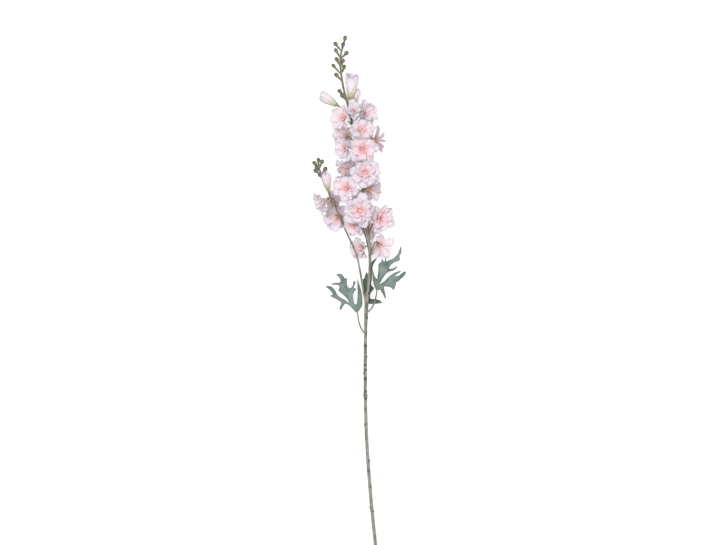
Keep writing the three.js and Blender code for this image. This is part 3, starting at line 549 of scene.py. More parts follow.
def petal_cloth(name, full, pale, rim):
    """Polyester cloth, dyed from the throat outwards and pressed hot into shape: no gloss, a faint sheen
    at grazing light, and dye that runs out in streaks along the pressed ribs. Shade is painted along its
    edges, in its creases, on its underside and over the half-open blooms."""
    material, tree = new_finish(name)
    # Numbers that each piece keeps: which petal, how far the coral runs, how far from the throat, how
    # far it is the underside, which gets painted shade, and how much painted shade a half-open bloom
    # gets.
    lot, blush, spread, back, dull = (
        node(tree, "Attribute", attribute_name=kept, out="Fac")
        for kept in ("lot", "blush", "spread", "back", "dull"))
    uv = node(tree, "UVMap", uv_map="UVMap")
    across, along = node(tree, "SeparateXYZ", {0: uv}, out=slice(2))
    # Streaks of dye about 2 mm wide, long along the petal.
    spot = node(tree, "CombineXYZ", {0: across, 1: along, 2: lot})
    drawn = node(tree, "VectorMath", {0: spot, 1: (9.0, 1.3, 31.0)}, operation="MULTIPLY")
    streak = node(tree, "TexNoise", {"Vector": drawn, "Scale": 1.0, "Detail": 3.0})
    run = node(tree, "Math", {0: streak, 1: -0.5, 2: 0.25}, operation="MULTIPLY_ADD")
    place = node(tree, "Math", {0: spread, 1: run}, operation="ADD")
    rich = node(tree, "ValToRGB", {0: place}, stops=full)
    faint = node(tree, "ValToRGB", {0: place}, stops=pale)
    body = node(tree, "Mix", {0: blush, 6: faint, 7: rich}, data_type="RGBA", out=2)
    # The underside is paler at its end, and towards its root it is painted darker and browner, as shade.
    under = node(tree, "ValToRGB", {0: place}, stops=[
        (0.0, "93754a"), (0.1, "cf9c6c"), (0.24, "eabfb6"), (0.5, "e9d3da"), (1.0, "e0dae6")])
    both = node(tree, "Mix", {0: back, 6: body, 7: under}, data_type="RGBA", out=2)
    # The half-open blooms at the sides are painted with shade: a dull brown pink.
    half_open_shade = node(tree, "ValToRGB", {0: place}, stops=[
        (0.0, "6f5a45"), (0.2, "a07c6c"), (0.5, "b79da2"), (1.0, "bdb0be")])
    dyed = node(tree, "Mix", {0: dull, 6: both, 7: half_open_shade}, data_type="RGBA", out=2)
    # The edges are painted darker, as shade: a band about 1 mm wide, fainter towards the throat.
    other = node(tree, "Math", {0: 1.0, 1: across}, operation="SUBTRACT")
    side = node(tree, "Math", {0: across, 1: other}, operation="MINIMUM")
    end = node(tree, "Math", {0: 1.0, 1: along}, operation="SUBTRACT")
    edge = node(tree, "Math", {0: side, 1: end}, operation="MINIMUM")
    band = node(tree, "MapRange", {"Value": edge, "From Max": 0.11, "To Min": 0.75, "To Max": 0.0},
                interpolation_type="SMOOTHSTEP")
    deep = node(tree, "MapRange", {"Value": spread, "From Min": 0.42, "From Max": 0.95, "To Min": 0.1})
    edge_shade = node(tree, "Math", {0: band, 1: deep}, operation="MULTIPLY")
    # Pressed creases run along it, with a little shade in each.
    loose = node(tree, "Math", {0: streak, 1: 0.3, 2: across}, operation="MULTIPLY_ADD")
    folds = node(tree, "Math", {0: loose, 1: 8 * math.pi}, operation="MULTIPLY")
    fold = node(tree, "Math", {0: folds}, operation="COSINE")
    crease = node(tree, "MapRange", {"Value": fold, "From Min": 0.75, "To Max": 0.25})
    line = node(tree, "Math", {0: edge_shade, 1: crease}, operation="MAXIMUM")
    edge_and_crease_shaded = node(tree, "Mix", {0: line, 6: dyed, 7: tint(rim)}, data_type="RGBA", out=2)
    # Threads lie 0.25 mm apart in such cloth, drawn 0.8 mm apart here, the finest that shows.
    where = node(tree, "TexCoord", out="Object")
    weave = node(tree, "TexVoronoi", {"Vector": where, "Scale": 1 / 0.0008}, distance="CHEBYCHEV")
    pucker = node(tree, "TexNoise", {"Vector": drawn, "Scale": 3.0, "Detail": 3.0})
    ribbed = node(tree, "Math", {0: fold, 1: -0.4, 2: pucker}, operation="MULTIPLY_ADD")
    relief = node(tree, "Math", {0: weave, 1: 0.3, 2: ribbed}, operation="MULTIPLY_ADD")
    bump = node(tree, "Bump", {"Height": relief, "Strength": 0.6, "Distance": 0.0006})
    shader = node(tree, "BsdfPrincipled", {
        "Base Color": edge_and_crease_shaded, "Normal": bump, "Roughness": 0.85, "Metallic": 0.0,
        "IOR": 1.45, "Specular IOR Level": 0.25, "Sheen Weight": 0.2, "Sheen Roughness": 0.5,
        "Subsurface Weight": 0.3, "Subsurface Radius": (1.0, 0.8, 0.85), "Subsurface Scale": 0.002,
    })
    node(tree, "OutputMaterial", {0: shader})
    return material


def leaf_cloth(name, low, high, rib):
    """Coarse polyester cloth, printed a dull sage green and pressed: the weave shows, the ribs are
    pressed in lighter, and the cut edge is darker. Near the foot it is painted darker, as shade."""
    material, tree = new_finish(name)
    where = node(tree, "TexCoord", out="Object")
    # The print is uneven in patches about 18 mm across, 55 to a metre.
    tone = node(tree, "TexNoise", {"Vector": where, "Scale": 55.0, "Detail": 4.0})
    printed = node(tree, "ValToRGB", {0: tone}, stops=[(0.34, low), (0.6, high)])
    vein = node(tree, "Attribute", attribute_name="vein", out="Fac")
    ribbed = node(tree, "Mix", {0: vein, 6: printed, 7: tint(rib)}, data_type="RGBA", out=2)
    # The threads are 0.6 mm apart, drawn 1.9 mm apart so that they show.
    turned = node(tree, "Mapping", {0: where, "Rotation": (0, 0, math.radians(38))})
    rows = []
    for way in node(tree, "SeparateXYZ", {0: turned}, out=slice(2)):
        thread = node(tree, "Math", {0: way, 1: 2 * math.pi / 0.0019}, operation="MULTIPLY")
        rows.append(node(tree, "Math", {0: thread}, operation="SINE"))
    weave = node(tree, "Math", {0: rows[0], 1: rows[1]}, operation="MULTIPLY")
    shade = node(tree, "MapRange", {"Value": weave, "From Min": -1.0, "To Min": 0.66, "To Max": 1.22})
    woven = node(tree, "VectorMath", {0: ribbed, "Scale": shade}, operation="SCALE")
    # The cut edge is darker, and near the foot the same mix paints shade.
    edge = node(tree, "Attribute", attribute_name="edge", out="Fac")
    cut = node(tree, "Mix", {0: edge, 6: woven, 7: tint("4e5c55")}, data_type="RGBA", out=2)
    bump = node(tree, "Bump", {"Height": weave, "Strength": 0.35, "Distance": 0.0003})
    shader = node(tree, "BsdfPrincipled", {
        "Base Color": cut, "Normal": bump, "Roughness": 0.8, "Metallic": 0.0,
        "IOR": 1.45, "Specular IOR Level": 0.3, "Sheen Weight": 0.1, "Sheen Roughness": 0.5,
    })
    node(tree, "OutputMaterial", {0: shader})
    return material


def stem_plastic(name):
    """Polyethylene moulded over wire, painted a dull grey olive: a soft gloss, fine ridges along
    it and browner, darker paint on the flower stalks and at the scars."""
    material, tree = new_finish(name)
    where = node(tree, "TexCoord", out="Object")
    # Ridges about 1 mm wide and 17 mm long.
    drawn = node(tree, "VectorMath", {0: where, 1: (900.0, 60.0, 900.0)}, operation="MULTIPLY")
    grain = node(tree, "TexNoise", {"Vector": drawn, "Scale": 1.0, "Detail": 4.0})
    bare = node(tree, "ValToRGB", {0: grain}, stops=[(0.3, "7d7d72"), (0.7, "a1a196")])
    # Darker paint has been dabbed on in patches about 5 mm wide and 13 mm long.
    spread = node(tree, "VectorMath", {0: where, 1: (220.0, 75.0, 220.0)}, operation="MULTIPLY")
    dabs = node(tree, "TexNoise", {"Vector": spread, "Scale": 1.0, "Detail": 3.0})
    dab = node(tree, "MapRange", {"Value": dabs, "From Min": 0.48, "From Max": 0.62, "To Max": 0.8})
    dabbed = node(tree, "Mix", {0: dab, 6: bare, 7: tint("505146")}, data_type="RGBA", out=2)
    twig = node(tree, "ValToRGB", {0: grain}, stops=[(0.3, "5c5640"), (0.7, "7f785b")])
    tone = node(tree, "Attribute", attribute_name="tone", out="Fac")
    worn = node(tree, "Mix", {0: tone, 6: dabbed, 7: twig}, data_type="RGBA", out=2)
    # A tone over 1 is the dark face of a cut.
    face = node(tree, "MapRange", {"Value": tone, "From Min": 1.0, "From Max": 1.5})
    paint = node(tree, "Mix", {0: face, 6: worn, 7: tint("2f2e26")}, data_type="RGBA", out=2)
    bump = node(tree, "Bump", {"Height": grain, "Strength": 0.4, "Distance": 0.0004})
    shader = node(tree, "BsdfPrincipled", {
        "Base Color": paint, "Normal": bump, "Roughness": 0.6, "Metallic": 0.0,
        "IOR": 1.5, "Specular IOR Level": 0.35,
    })
    node(tree, "OutputMaterial", {0: shader})
    return material


def calyx_plastic(name, stops):
    """Soft moulded polyethylene, tinted along its length: a soft gloss and a faint mottle."""
    material, tree = new_finish(name)
    height = node(tree, "Attribute", attribute_name="height", out="Fac")
    tinted = node(tree, "ValToRGB", {0: height}, stops=stops)
    # The mottle is 1.4 mm across, 700 to a metre.
    where = node(tree, "TexCoord", out="Object")
    mottle = node(tree, "TexNoise", {"Vector": where, "Scale": 700.0, "Detail": 3.0})
    shade = node(tree, "MapRange", {"Value": mottle, "From Min": 0.3, "From Max": 0.7,
                                    "To Min": 0.85, "To Max": 1.1})
    paint = node(tree, "VectorMath", {0: tinted, "Scale": shade}, operation="SCALE")
    bump = node(tree, "Bump", {"Height": mottle, "Strength": 0.3, "Distance": 0.0003})
    shader = node(tree, "BsdfPrincipled", {
        "Base Color": paint, "Normal": bump, "Roughness": 0.6, "Metallic": 0.0,
        "IOR": 1.5, "Specular IOR Level": 0.35,
    })
    node(tree, "OutputMaterial", {0: shader})
    return material


PETAL = petal_cloth(
    "pressed_petal_cloth",
    [(0.0, "f9bcc0"), (0.16, "fcb8c1"), (0.4, "facbd3"), (0.66, "ebd7dd"), (1.0, "d6d1dc")],
    [(0.0, "f1c8c8"), (0.16, "f5d2d6"), (0.38, "f0dce1"), (0.62, "e4dae1"), (1.0, "d5d2dd")],
    # colour of the shade painted along the edges and in the creases
    "8b8294",
)
BUD = petal_cloth(
    "pressed_bud_cloth",
    [(0.0, "aab283"), (0.16, "d9c9b2"), (0.34, "efd0d0"), (0.7, "ecd8df"), (1.0, "e0d6e2")],
    [(0.0, "aab487"), (0.23, "d0d4b5"), (0.4, "e9dde0"), (0.7, "e2d9e0"), (1.0, "d4cedb")],
    # colour of the shade painted along the edges and in the creases
    "b3abbd",
)
LEAF = leaf_cloth("woven_leaf_cloth", "5b6b63", "83928b", "909d96")
# The leaf behind the stem gets the same cloth painted darker, as shade.
LEAF_SHADED = leaf_cloth("woven_leaf_cloth_shaded", "485a4e", "5d6f63", "6c7d73")
STALK = stem_plastic("painted_polyethylene_stem")
HEART = calyx_plastic("tinted_polyethylene_heart", [
    (0.0, "6b6045"), (0.25, "8a6d4a"), (0.4, "bb8d72"), (0.5, "fad6d6"), (0.62, "fce2e2"),
    (0.88, "fbd8d8"), (1.0, "f6c4c4")])
SEPAL = calyx_plastic("tinted_polyethylene_sepal", [
    (0.0, "6d7048"), (0.3, "94995f"), (0.7, "b4b983"), (1.0, "cdceab")])
GREEN = calyx_plastic("tinted_polyethylene_bud", [
    (0.0, "66664e"), (0.35, "72725a"), (0.7, "828266"), (0.85, "5a5a44"), (1.0, "3a3a2b")])


# ---- petals ----------------------------------------------------------------------------------

def flat_petals(count):
    """A stack of flat petals to be pressed: x runs across each from -1 to 1, y along it from 0 to
    1, and z is its number."""
    petal = new_piece(bpy.ops.mesh.primitive_grid_add,
                      x_subdivisions=PETAL_ACROSS, y_subdivisions=PETAL_ALONG, size=2)
    bpy.ops.object.mode_set(mode="EDIT")
    bpy.ops.mesh.select_all(action="SELECT")
    bpy.ops.transform.resize(value=(1, 0.5, 1))
    bpy.ops.transform.translate(value=(0, 0.5, 0))
    bpy.ops.object.mode_set(mode="OBJECT")
    stack = petal.modifiers.new("stack", "ARRAY")
    stack.count = count
    stack.use_relative_offset = False
    stack.use_constant_offset = True
    stack.constant_offset_displace = (0, 0, 1)
    apply_all(petal)
    return petal


def half_width(t, root, widest, end, rounding):
    """Half width along a petal, as a share of its widest."""
    swell = mix(root, 1, np.sin(np.minimum(1, t / widest) * np.pi / 2) ** 2)
    return swell * np.sqrt(1 - rounding * np.maximum(0, (t - end) / (1 - end)) ** 2)


def along_petal(flat):
    """How far along its petal each point lies. The rows crowd towards the end, which is round."""
    return 1 - (1 - flat[:, 1]) ** 1.5


def petal_number(flat):
    return np.rint(flat[:, 2]).astype(int)


def petal_rows(bloom):
    """One row for each petal of a bloom: the numbers of its layer, and its own number in that."""
    layers = LAYERS + [CROWDED_LAYER] * (bloom.name in CROWDED)
    rows = np.array([layer + (k,) for layer in layers for k in range(layer[0])], float)
    if bloom.name not in FULL:
        rows[LAYERS[0][0] + LAYERS[1][0]:, 1:3] *= INNER
    return rows


def bloom_points(bloom, flat):
    """Where the petals of a bloom lie, before they give way to their neighbours. Across a petal s
    runs from -1 to 1, and along it t runs from 0 to 1."""
    s, t = flat[:, 0], along_petal(flat)
    petals, reach_share, half_share, root, lift, offset, k = petal_rows(bloom)[petal_number(flat)].T
    seed = bloom.seed * 7 + k + 31 * offset
    lean = mix(LEAN_OPEN, LEAN_SHUT, bloom.cup) + lift * (1 - 0.6 * bloom.cup) + LEAN_SPREAD * vary(seed)
    angle = np.radians(lean)
    bow = angle * BOW
    reach = bloom.radius * reach_share * (1 + REACH_SPREAD * vary(seed + 0.37))

    # Its end: a notch in the middle, round corners and small bites.
    depth = NOTCH * (0.5 + vary(seed + 0.29))
    bites = SCALLOP * np.sin(10 * s + 30 * vary(seed + 0.61)) * t**6
    cut = (depth * (1 - np.abs(s)) ** 2 + SHOULDER * np.abs(s) ** 3) * t * t
    along = t * (1 - cut + bites)

    # Its middle line: up from the heart and then out.
    def out_at(place):
        return bezier(0.13, 0.17, 0.6 * np.cos(bow), np.cos(angle), place) * reach

    up = bezier(0, 0.2, 0.6 * np.sin(bow) + 0.12, np.sin(angle), along) * reach + root * bloom.radius

    # Its width, less where a half-open bloom's petals are folded lengthwise.
    share = PETAL_SHARE * np.pi * out_at(0.78) / petals
    half = np.minimum(half_share * bloom.radius, share) * half_width(t, *PETAL_WIDTH)
    fold, narrow, _ = HALF_OPEN.get(bloom.name, OPEN)
    fold = fold * t * (0.7 + vary(seed + 0.97))
    across = s * half * narrow / np.sqrt(1 + fold**2)

    # How far it curls off the middle line: sides, broad wave, twist, fold, frill, ribs and droop.
    wave = np.sin(RUFFLE_WAVES * s + 6 * vary(seed + 0.71))
    curl = HOLLOW * (1 + 3 * vary(seed + 0.83)) * half * s * s + RUFFLE * reach * t * t * wave
    curl = curl + TWIST * (1 + 2 * vary(seed + 0.47)) * across * (1 - 0.5 * t) + fold * np.abs(across)
    rim = np.maximum(np.abs(s), t) ** 5 * t
    curl = curl + FRILL * reach * rim * np.sin(8 * s + 13 * t + 40 * vary(seed + 0.11))
    curl = curl + PLEAT * reach * np.cos(3 * np.pi * s) * np.sin(np.pi * t)
    curl = curl - CREASE * reach * t * (1 - np.abs(s)) ** 6
    curl = curl - DROOP * (0.5 + vary(seed + 0.19)) * reach * t**3

    turn = (k + offset + bloom.turn) / petals * 2 * np.pi + TURN_SPREAD * t * vary(seed + 0.53)
    outward = out_at(along) - curl * np.sin(angle) * t
    upward = up + curl * (1 - np.sin(angle) * t * 0.5)
    return bloom.place(np.column_stack([
        outward * np.cos(turn) - across * np.sin(turn),
        outward * np.sin(turn) + across * np.cos(turn),
        upward,
    ]))


def bud_points(bud, s, t, k, proud=0.0):
    """Where the petals of a pale bud lie: they stand up, bulge and close towards the tip. Sepals
    lie proud of them."""
    opened = 1 - bud.cup
    tip, belly = mix(*BUD_MOUTH, bud.cup), mix(*BUD_BELLY, bud.cup)
    seed = bud.seed * 11 + k
    cut = BUD_NOTCH * (1 - np.abs(s)) ** 2 + BUD_SHOULDER * np.abs(s) ** 3
    along = t * (1 - opened * cut * t * t)
    out = bezier(0.06, 0.12, belly, tip, along) * bud.radius
    up = bezier(0, 0.35, 0.7, 1, along) * bud.radius * (1 + 0.06 * vary(seed))
    closed_width = np.sin(np.pi * (0.12 + 0.84 * t))
    wrap = s * mix(half_width(t, *BUD_WIDTH), closed_width, bud.cup**2) * BUD_WRAP
    frill = opened * BUD_FRILL * bud.radius * t**4 * np.sin(7 * s + 20 * vary(seed + 0.3))
    crease = -BUD_CREASE * bud.radius * np.sin(np.pi * t) * (1 - np.abs(s)) ** 6
    turn = (k + bud.turn) / BUD_PETALS * 2 * np.pi
    up = up * (1 - BUD_SHORT * opened * np.maximum(0, -np.sin(turn)))
    away = out + BUD_LAP * s + CLOTH + frill + crease + proud
    return bud.place(np.column_stack([away * np.cos(turn + wrap), away * np.sin(turn + wrap), up]))


bloom_blank = flat_petals(sum(layer[0] for layer in LAYERS))
crowded_blank = flat_petals(sum(layer[0] for layer in LAYERS + [CROWDED_LAYER]))
bud_blank = flat_petals(BUD_PETALS)

for bloom in blooms:
    petals = own_copy(crowded_blank if bloom.name in CROWDED else bloom_blank, bloom.name + "_petals")
    flat = coords(petals)
    number = petal_number(flat)
    note(petals, "lot", number * 0.37 + bloom.seed * 0.71)
    note(petals, "spread", along_petal(flat) * petal_rows(bloom)[number, 1])
    note(petals, "blush", np.clip(bloom.blush + BLUSH_SPREAD * vary(number + 50 * bloom.seed), 0, 1))
    # How much painted shade a half-open bloom gets.
    note(petals, "dull", HALF_OPEN.get(bloom.name, OPEN)[2])
    lay(petals, give_way(bloom, bloom_points(bloom, flat)))
    thicken(petals, CLOTH)
    # The side that faces away from where the bloom looks is its underside, which gets painted shade.
    note(petals, "back", 0.75 * np.clip(0.5 - 1.5 * (normals(petals) @ bloom.forward), 0, 1))
    finish(petals, "petal", PETAL, bloom.name)

for bud in buds:
    petals = own_copy(bud_blank, bud.name + "_petals")
    flat = coords(petals)
    number = petal_number(flat)
    note(petals, "lot", number * 0.37 + bud.seed * 0.71)
    note(petals, "spread", flat[:, 1])
    note(petals, "blush", bud.blush)
    lay(petals, bud_points(bud, flat[:, 0], flat[:, 1], number))
    thicken(petals, CLOTH)
    finish(petals, "bud", BUD, bud.name)


# ---- hearts and calyxes ----------------------------------------------------------------------

def turned(rows, sides):
    """A round piece about z, drawn out ring by ring from rows of radius and height, and closed at
    both ends."""
    piece = new_piece(bpy.ops.mesh.primitive_circle_add, vertices=sides, radius=rows[0][0],
                      fill_type="NGON", location=(0, 0, rows[0][1]))
    bpy.ops.object.transform_apply()
    bpy.ops.object.mode_set(mode="EDIT")
    bpy.ops.mesh.select_all(action="SELECT")
    for (radius, height), (next_radius, next_height) in zip(rows, rows[1:]):
        bpy.ops.mesh.extrude_region_move(TRANSFORM_OT_translate={"value": (0, 0, next_height - height)})
        grow = next_radius / radius
        bpy.ops.transform.resize(value=(grow, grow, 1), center_override=(0, 0, next_height))
    bpy.ops.mesh.select_all(action="SELECT")
    bpy.ops.mesh.normals_make_consistent(inside=False)
    bpy.ops.object.mode_set(mode="OBJECT")
    return piece


def stamen():
    """One stamen standing on z = 0, with its anther at the top, in shares of the bloom's radius."""
    thread = turned([(0.012, 0.05), (0.01, 0.22), (0.009, 0.32)], 6)
    anther = new_piece(bpy.ops.mesh.primitive_uv_sphere_add,
                       segments=8, ring_count=6, radius=0.034, location=(0, 0, 0.33))
    bpy.ops.transform.resize(value=(1, 0.75, 1.3))
    bpy.ops.object.transform_apply()
    return joined([thread, anther], "stamen")


def heart():
    """The heart of a bloom: a calyx that closes into a cushion, and a ring of stamens."""
    calyx = turned([(0.045, -CALYX), (0.05, -0.24), (0.075, -0.15), (0.105, -0.07), (0.13, 0.01),
                    (0.125, 0.07), (0.07, 0.12), (0.015, 0.13)], 12)
    one = stamen()
    ring = []
    for i in range(STAMENS):
        copy = own_copy(one, "stamen")
        points = coords(copy)
        points[:, 0] += 0.05 + points[:, 2] * (0.1 + 0.35 * (vary(i) + 0.5))
        around = (i + 0.3 * vary(i + 0.5)) / STAMENS * 2 * math.pi
        cos, sin = math.cos(around), math.sin(around)
        points = points @ np.array([[cos, sin, 0], [-sin, cos, 0], [0, 0, 1]])
        copy.data.vertices.foreach_set("co", points.ravel())
        ring.append(copy)
    bpy.data.objects.remove(one)
    return joined([calyx] + ring, "heart_blank")


heart_blank = heart()
for bloom in blooms:
    piece = own_copy(heart_blank, bloom.name + "_heart")
    points = coords(piece)
    note(piece, "height", np.clip((points[:, 2] + CALYX) / (CALYX + STAMEN_TOP), 0, 1))
    lay(piece, bloom.place(points * bloom.radius))
    smooth(piece, 60)
    finish(piece, "stem", HEART)

for bud in buds:
    cup = turned([(0.035, -BUD_CALYX), (0.04, -0.09), (0.062, -0.03), (0.075, 0.03), (0.06, 0.08),
                  (0.02, 0.1)], 12)
    points = coords(cup)
    note(cup, "height", np.clip((points[:, 2] + BUD_CALYX) / 0.6, 0, 1))
    lay(cup, bud.place(points * bud.radius))
    sepals = own_copy(bud_blank, "sepals")
    flat = coords(sepals)
    t = flat[:, 1]
    s = flat[:, 0] * SEPAL_WIDTH * (1 - t) ** 0.7
    note(sepals, "height", 0.2 + 0.8 * t)
    proud = BUD_LAP + SEPAL_OUT - 0.5 * BUD_LAP * s
    lay(sepals, bud_points(bud, s, SEPAL_LENGTH * t, petal_number(flat) + 0.5, proud))
    thicken(sepals, CLOTH)
    calyx = joined([cup, sepals], bud.name + "_calyx")
    smooth(calyx, 60)
    finish(calyx, "stem", SEPAL)


# ---- stems, stalks and green buds ------------------------------------------------------------

def straight_stalk(sides, splits):
    """A straight stalk with even rings: radius 1 about z, and z from 0 to 1. It is cut into as
    many lengths as the first split says, and each of those again as the next one says."""
    piece = new_piece(bpy.ops.mesh.primitive_cylinder_add,
                      vertices=sides, radius=1, depth=1, location=(0, 0, 0.5))
    bpy.ops.object.transform_apply()
    for lengths in splits:
        bpy.ops.object.mode_set(mode="EDIT")
        bpy.ops.mesh.select_mode(type="EDGE")
        bpy.ops.mesh.select_all(action="DESELECT")
        bpy.ops.object.mode_set(mode="OBJECT")
        height = coords(piece)[:, 2]
        for edge in piece.data.edges:
            low, high = sorted(height[i] for i in edge.vertices)
            edge.select = bool(high - low > 1e-5)
        bpy.ops.object.mode_set(mode="EDIT")
        bpy.ops.mesh.subdivide(number_cuts=lengths - 1)
        bpy.ops.object.mode_set(mode="OBJECT")
    return piece


def bent(blank, path, radius_at, tone):
    """A stalk bent along a path. Its radius goes by how far along it is, from 0 to 1, and by y."""
    piece = own_copy(blank, "stalk")
    points = coords(piece)
    steps = len(np.unique(points[:, 2].round(5))) - 1
    path = even(path, steps)
    way = np.gradient(path, axis=0)
    way /= np.linalg.norm(way, axis=1)[:, None]
    side = np.array([0.0, 0, 1.0]) - way[0] * way[0, 2]
    sides = []
    for forward in way:
        side = unit(side - forward * (side @ forward))
        sides.append(side)
    sides = np.array(sides)
    others = np.cross(way, sides)
    row = np.rint(points[:, 2] * steps).astype(int)
    radius = np.array([radius_at(i / steps, path[i, 1]) for i in range(steps + 1)])[row]
    radius = radius * (1 + 0.05 * np.cos(5 * np.arctan2(points[:, 1], points[:, 0])))
    x, y = points[:, 0] * radius, points[:, 1] * radius
    note(piece, "tone", from_table(tone, row / steps))
    lay(piece, path[row] + sides[row] * x[:, None] + others[row] * y[:, None])
    return piece


def stem_radius(_, y):
    """The stem swells at each scar."""
    swell = sum(SCAR_SWELL * math.exp(-((y - scar_y) / SCAR_REACH) ** 2) for scar_y, *_ in SCARS)
    return from_table(STEM_COAT, y) * from_table(STEM_RADIUS, y) + swell


def shoot_radius(_, y):
    return from_table(SHOOT_RADIUS, y)


def flower_stalk_radius(u, _):
    return mix(*FLOWER_STALK, u)


def leaf_stalk_radius(u, _):
    return np.interp(u, [0, 0.75, 1], LEAF_STALK)


def bud_stalk_radius(u, _):
    return np.interp(u, [0, 0.5, 1], BUD_STALK)


thick_blank = straight_stalk(14, (13, 20))
thin_blank = straight_stalk(10, (14,))
parts = [
    bent(thick_blank, STEM, stem_radius, STEM_TONE),
    bent(thick_blank, SHOOT, shoot_radius, SHOOT_TONE),
]
for head in blooms + buds:
    calyx_length, tone = (BUD_CALYX, PALE_BUD_TONE) if head in buds else (CALYX, FLOWER_TONE)
    root = at_height(head.line, head.root)
    end = head.at - head.forward * calyx_length * head.radius
    behind = end - head.forward * STALK_SWEEP * np.linalg.norm(root - end)
    parts.append(bent(thin_blank, arc(root, behind, end, PATH_STEPS), flower_stalk_radius, tone))
for name, (root, bend) in LEAF_STALKS.items():
    foot, middle_rib = LEAVES[name][0], LEAVES[name][-1][0]
    tail = even(middle_rib, PATH_STEPS)[1:LEAF_TAIL]
    path = np.vstack([arc(at_height(STEM, root), bend, foot, PATH_STEPS),
                      np.column_stack([tail, np.full(len(tail), foot[2] - UNDER_LEAF)])])
    parts.append(bent(thin_blank, path, leaf_stalk_radius, LEAF_TONE))


def green_bud():
    """A small green bud on z from 0 to 1, ribbed and pinched at its tip."""
    piece = new_piece(bpy.ops.mesh.primitive_uv_sphere_add, segments=20, ring_count=10, radius=1)
    points = coords(piece)
    ribs = np.cos(GREEN_BUD_RIBS * np.arctan2(points[:, 1], points[:, 0]))
    high = (points[:, 2] + 1) / 2
    # The grooves between its ribs are painted darker, as shade, with the colour of its darker upper end.
    note(piece, "height", high + 0.4 * (ribs < -0.5) * (high > 0.3))
    wide = np.interp(high, [0, 0.25, 0.5, 0.8, 1], [0.62, 0.8, 0.98, 1.08, 0.9])
    wide = wide * (1 + 0.1 * ribs * np.sin(np.pi * high))
    points = np.column_stack([points[:, 0] * wide, points[:, 1] * wide, high])
    piece.data.vertices.foreach_set("co", points.ravel())
    return piece


bud_shape = green_bud()
small_buds = []
for line, rows in ((STEM, TIP_BUDS), (SHOOT, SHOOT_BUDS)):
    for i, (x, y, z, root_y) in enumerate(rows):
        middle, root = np.array([x, y, z], float), at_height(line, root_y)
        ahead = unit(middle - root)
        foot = middle - ahead * GREEN_BUD_BACK * GREEN_BUD
        tip = middle + ahead * GREEN_BUD_AHEAD * GREEN_BUD
        path = arc(root, (root + foot) / 2, foot, PATH_STEPS)
        parts.append(bent(thin_blank, path, bud_stalk_radius, GREEN_BUD_TONE))
        side = unit(np.cross(ahead, (0, 0.3, 1)))
        other = np.cross(ahead, side)
        wide = GREEN_BUD * (1.0 + 0.16 * vary(i + y))
        piece = own_copy(bud_shape, "green_bud")
        across, over, along = coords(piece).T[:, :, None]
        lay(piece, foot + across * wide * side + over * wide * other + along * (tip - foot))
        small_buds.append(piece)


def scar(y, side, shade):
    """The nub where a leaf has been cut off: dark where the cut is open, pale where it has healed."""
    out = SCAR_OUT * stem_radius(0, y) * np.array([side, 0, math.sqrt(1 - side**2)])
    nub = new_piece(bpy.ops.mesh.primitive_uv_sphere_add, segments=10, ring_count=7, radius=1)
    note(nub, "tone", shade)
    lay(nub, coords(nub) * SCAR_SIZE + at_height(STEM, y) + out)
    return nub


parts += [scar(*row) for row in SCARS]
stem = joined(parts, "stem_and_stalks")
smooth(stem, 45)
finish(stem, "stem", STALK, "stem")
green = joined(small_buds, "green_buds")
smooth(green, 60)
finish(green, "stem", GREEN, "stem")


# ---- leaves ----------------------------------------------------------------------------------

def far_from(line, points):
    """Distance of each point from a line given by many points."""
    best = np.full(len(points), np.inf)
    for spot in line:
        best = np.minimum(best, np.hypot(points[:, 0] - spot[0], points[:, 1] - spot[1]))
    return best


def inside(points, loop):
    """Which points lie inside a closed loop."""
    odd = np.zeros(len(points), bool)
    for (x0, y0), (x1, y1) in zip(loop, np.roll(loop, -1, axis=0)):
        crosses = (y0 > points[:, 1]) != (y1 > points[:, 1])
        with np.errstate(divide="ignore", invalid="ignore"):
            odd ^= crosses & (points[:, 0] < (x1 - x0) * (points[:, 1] - y0) / (y1 - y0) + x0)
    return odd


def blade(name, loop):
    """A flat sheet cut along a loop, in even triangles."""
    low, high = loop.min(axis=0), loop.max(axis=0)
    grid = np.array([(x, y) for x in np.arange(low[0], high[0], LEAF_STEP)
                     for y in np.arange(low[1], high[1], LEAF_STEP)])
    grid = grid[inside(grid, loop)]
    grid = grid[far_from(loop, grid) > 0.6 * LEAF_STEP]
    flat = [tuple(point) for point in np.vstack([loop, grid])]
    edges = [(i, (i + 1) % len(loop)) for i in range(len(loop))]
    points, _, faces, *_ = delaunay_2d_cdt(flat, edges, [], 0, 1e-5)
    points = np.array([tuple(point) for point in points])
    middles = np.array([points[list(face)].mean(axis=0) for face in faces])
    kept = [face for face, is_in in zip(faces, inside(middles, loop)) if is_in]
    used = sorted({i for face in kept for i in face})
    renumber = {old: new for new, old in enumerate(used)}
    mesh = bpy.data.meshes.new(name)
    mesh.from_pydata([(x, y, 0) for x, y in points[used]], [],
                     [[renumber[i] for i in face] for face in kept])
    piece = bpy.data.objects.new(name, mesh)
    bpy.context.scene.collection.objects.link(piece)
    take(piece)
    bpy.ops.object.mode_set(mode="EDIT")
    bpy.ops.mesh.select_all(action="SELECT")
    bpy.ops.mesh.normals_make_consistent(inside=False)
    bpy.ops.object.mode_set(mode="OBJECT")
    return piece


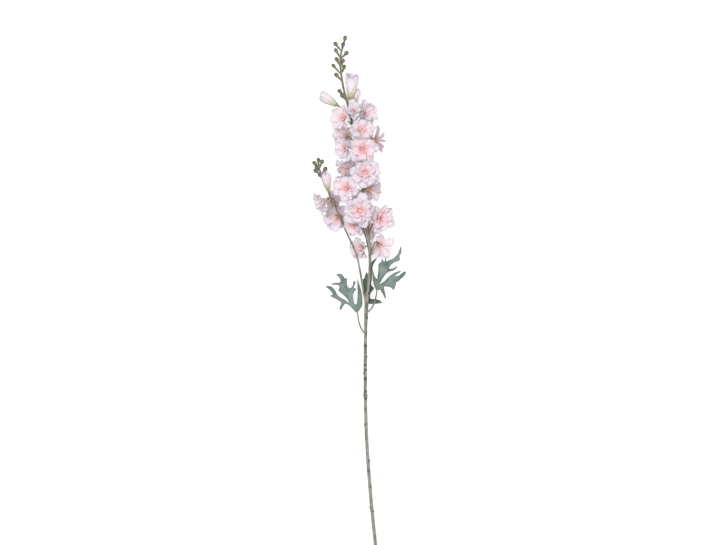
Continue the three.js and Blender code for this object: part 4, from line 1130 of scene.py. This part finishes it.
def leaf(name, foot, rise, droop, outline, ribs):
    """A leaf cut from cloth and pressed: its ribs sink in, and it droops away from its foot."""
    loop = smooth_line(outline, len(outline) * EDGE_STEPS, closed=True, pull=EDGE_PULL)[:-1]
    piece = blade(name + "_blade", loop)
    points = coords(piece)[:, :2]
    from_rib = np.min([far_from(even(rib, PATH_STEPS), points) for rib in ribs], axis=0)
    from_edge = far_from(loop, points)
    from_foot = far_from([foot], points)
    z = foot[2] + rise * from_foot - droop * (from_foot / LEAF_REACH) ** 2
    z = z - RIB_DEPTH * np.exp(-((from_rib / RIB_HALF) ** 2)) + PILLOW * np.minimum(1, from_rib / 5)
    waves = np.sin(points[:, 0] * 0.35) * np.sin(points[:, 1] * 0.3)
    z = z + BUCKLE * waves * np.minimum(1, from_foot / 15)
    note(piece, "vein", 0.8 * np.exp(-((from_rib / 0.7) ** 2)))
    # Near its foot the cloth is painted darker, as shade, carried in the edge attribute.
    foot_shade = 0.5 * np.exp(-((from_foot / FOOT_SHADE_REACH) ** 2))
    note(piece, "edge", np.maximum(0.85 * np.exp(-((from_edge / 0.9) ** 2)), foot_shade))
    lay(piece, np.column_stack([points, z]))
    thicken(piece, LEAF_CLOTH)
    return piece


for name, rows in LEAVES.items():
    # The leaf behind gets the copy of the cloth that is painted with shade.
    finish(leaf(name, *rows), "leaf", LEAF_SHADED if name == "leaf_back" else LEAF, name)

for blank in (bloom_blank, crowded_blank, bud_blank, heart_blank, thick_blank, thin_blank, bud_shape):
    bpy.data.objects.remove(blank)


# ---- table, light and camera -----------------------------------------------------------------

# A matt white laminate, which glows a little so that it reads as white all over.
table = new_piece(bpy.ops.mesh.primitive_plane_add, size=8, location=(0, 0, -0.0002))
table.name = "table"
material, tree = new_finish("white_table")
shader = node(tree, "BsdfPrincipled", {
    "Base Color": tint("b4b4b4"), "Roughness": 0.9,
    "Emission Color": tint("ffffff"), "Emission Strength": 0.7,
})
node(tree, "OutputMaterial", {0: shader})
table.data.materials.append(material)

world = bpy.data.worlds.new("studio")
bpy.context.scene.world = world
world.use_nodes = True
sky = world.node_tree.nodes["Background"].inputs
sky["Color"].default_value = (1, 1, 1, 1)
sky["Strength"].default_value = 0.45


def softbox(name, place, size, power):
    """A square soft light that points at the middle of the spike."""
    lamp = new_piece(bpy.ops.object.light_add, type="AREA", location=place)
    lamp.name = name
    lamp.data.size = size
    lamp.data.energy = power
    lamp.rotation_euler = (-lamp.location).to_track_quat("-Z", "Y").to_euler()


softbox("key_light", (-0.8, 0.8, 3.3), 1.4, 78)
softbox("fill_light", (0.9, -0.5, 3.3), 2.0, 35)

# The camera looks straight down from 4 m over the blooms, where its picture is 1.2 m wide.
SENSOR = 36
camera = new_piece(bpy.ops.object.camera_add, location=(-0.0018, 0.0373, 4.045), rotation=(0, 0, 0))
camera.data.sensor_width = SENSOR
camera.data.lens = SENSOR * 4.0 / 1.2029
camera.data.clip_end = 50
scene = bpy.context.scene
scene.camera = camera
scene.view_settings.view_transform = "Standard"
scene.view_settings.look = "None"
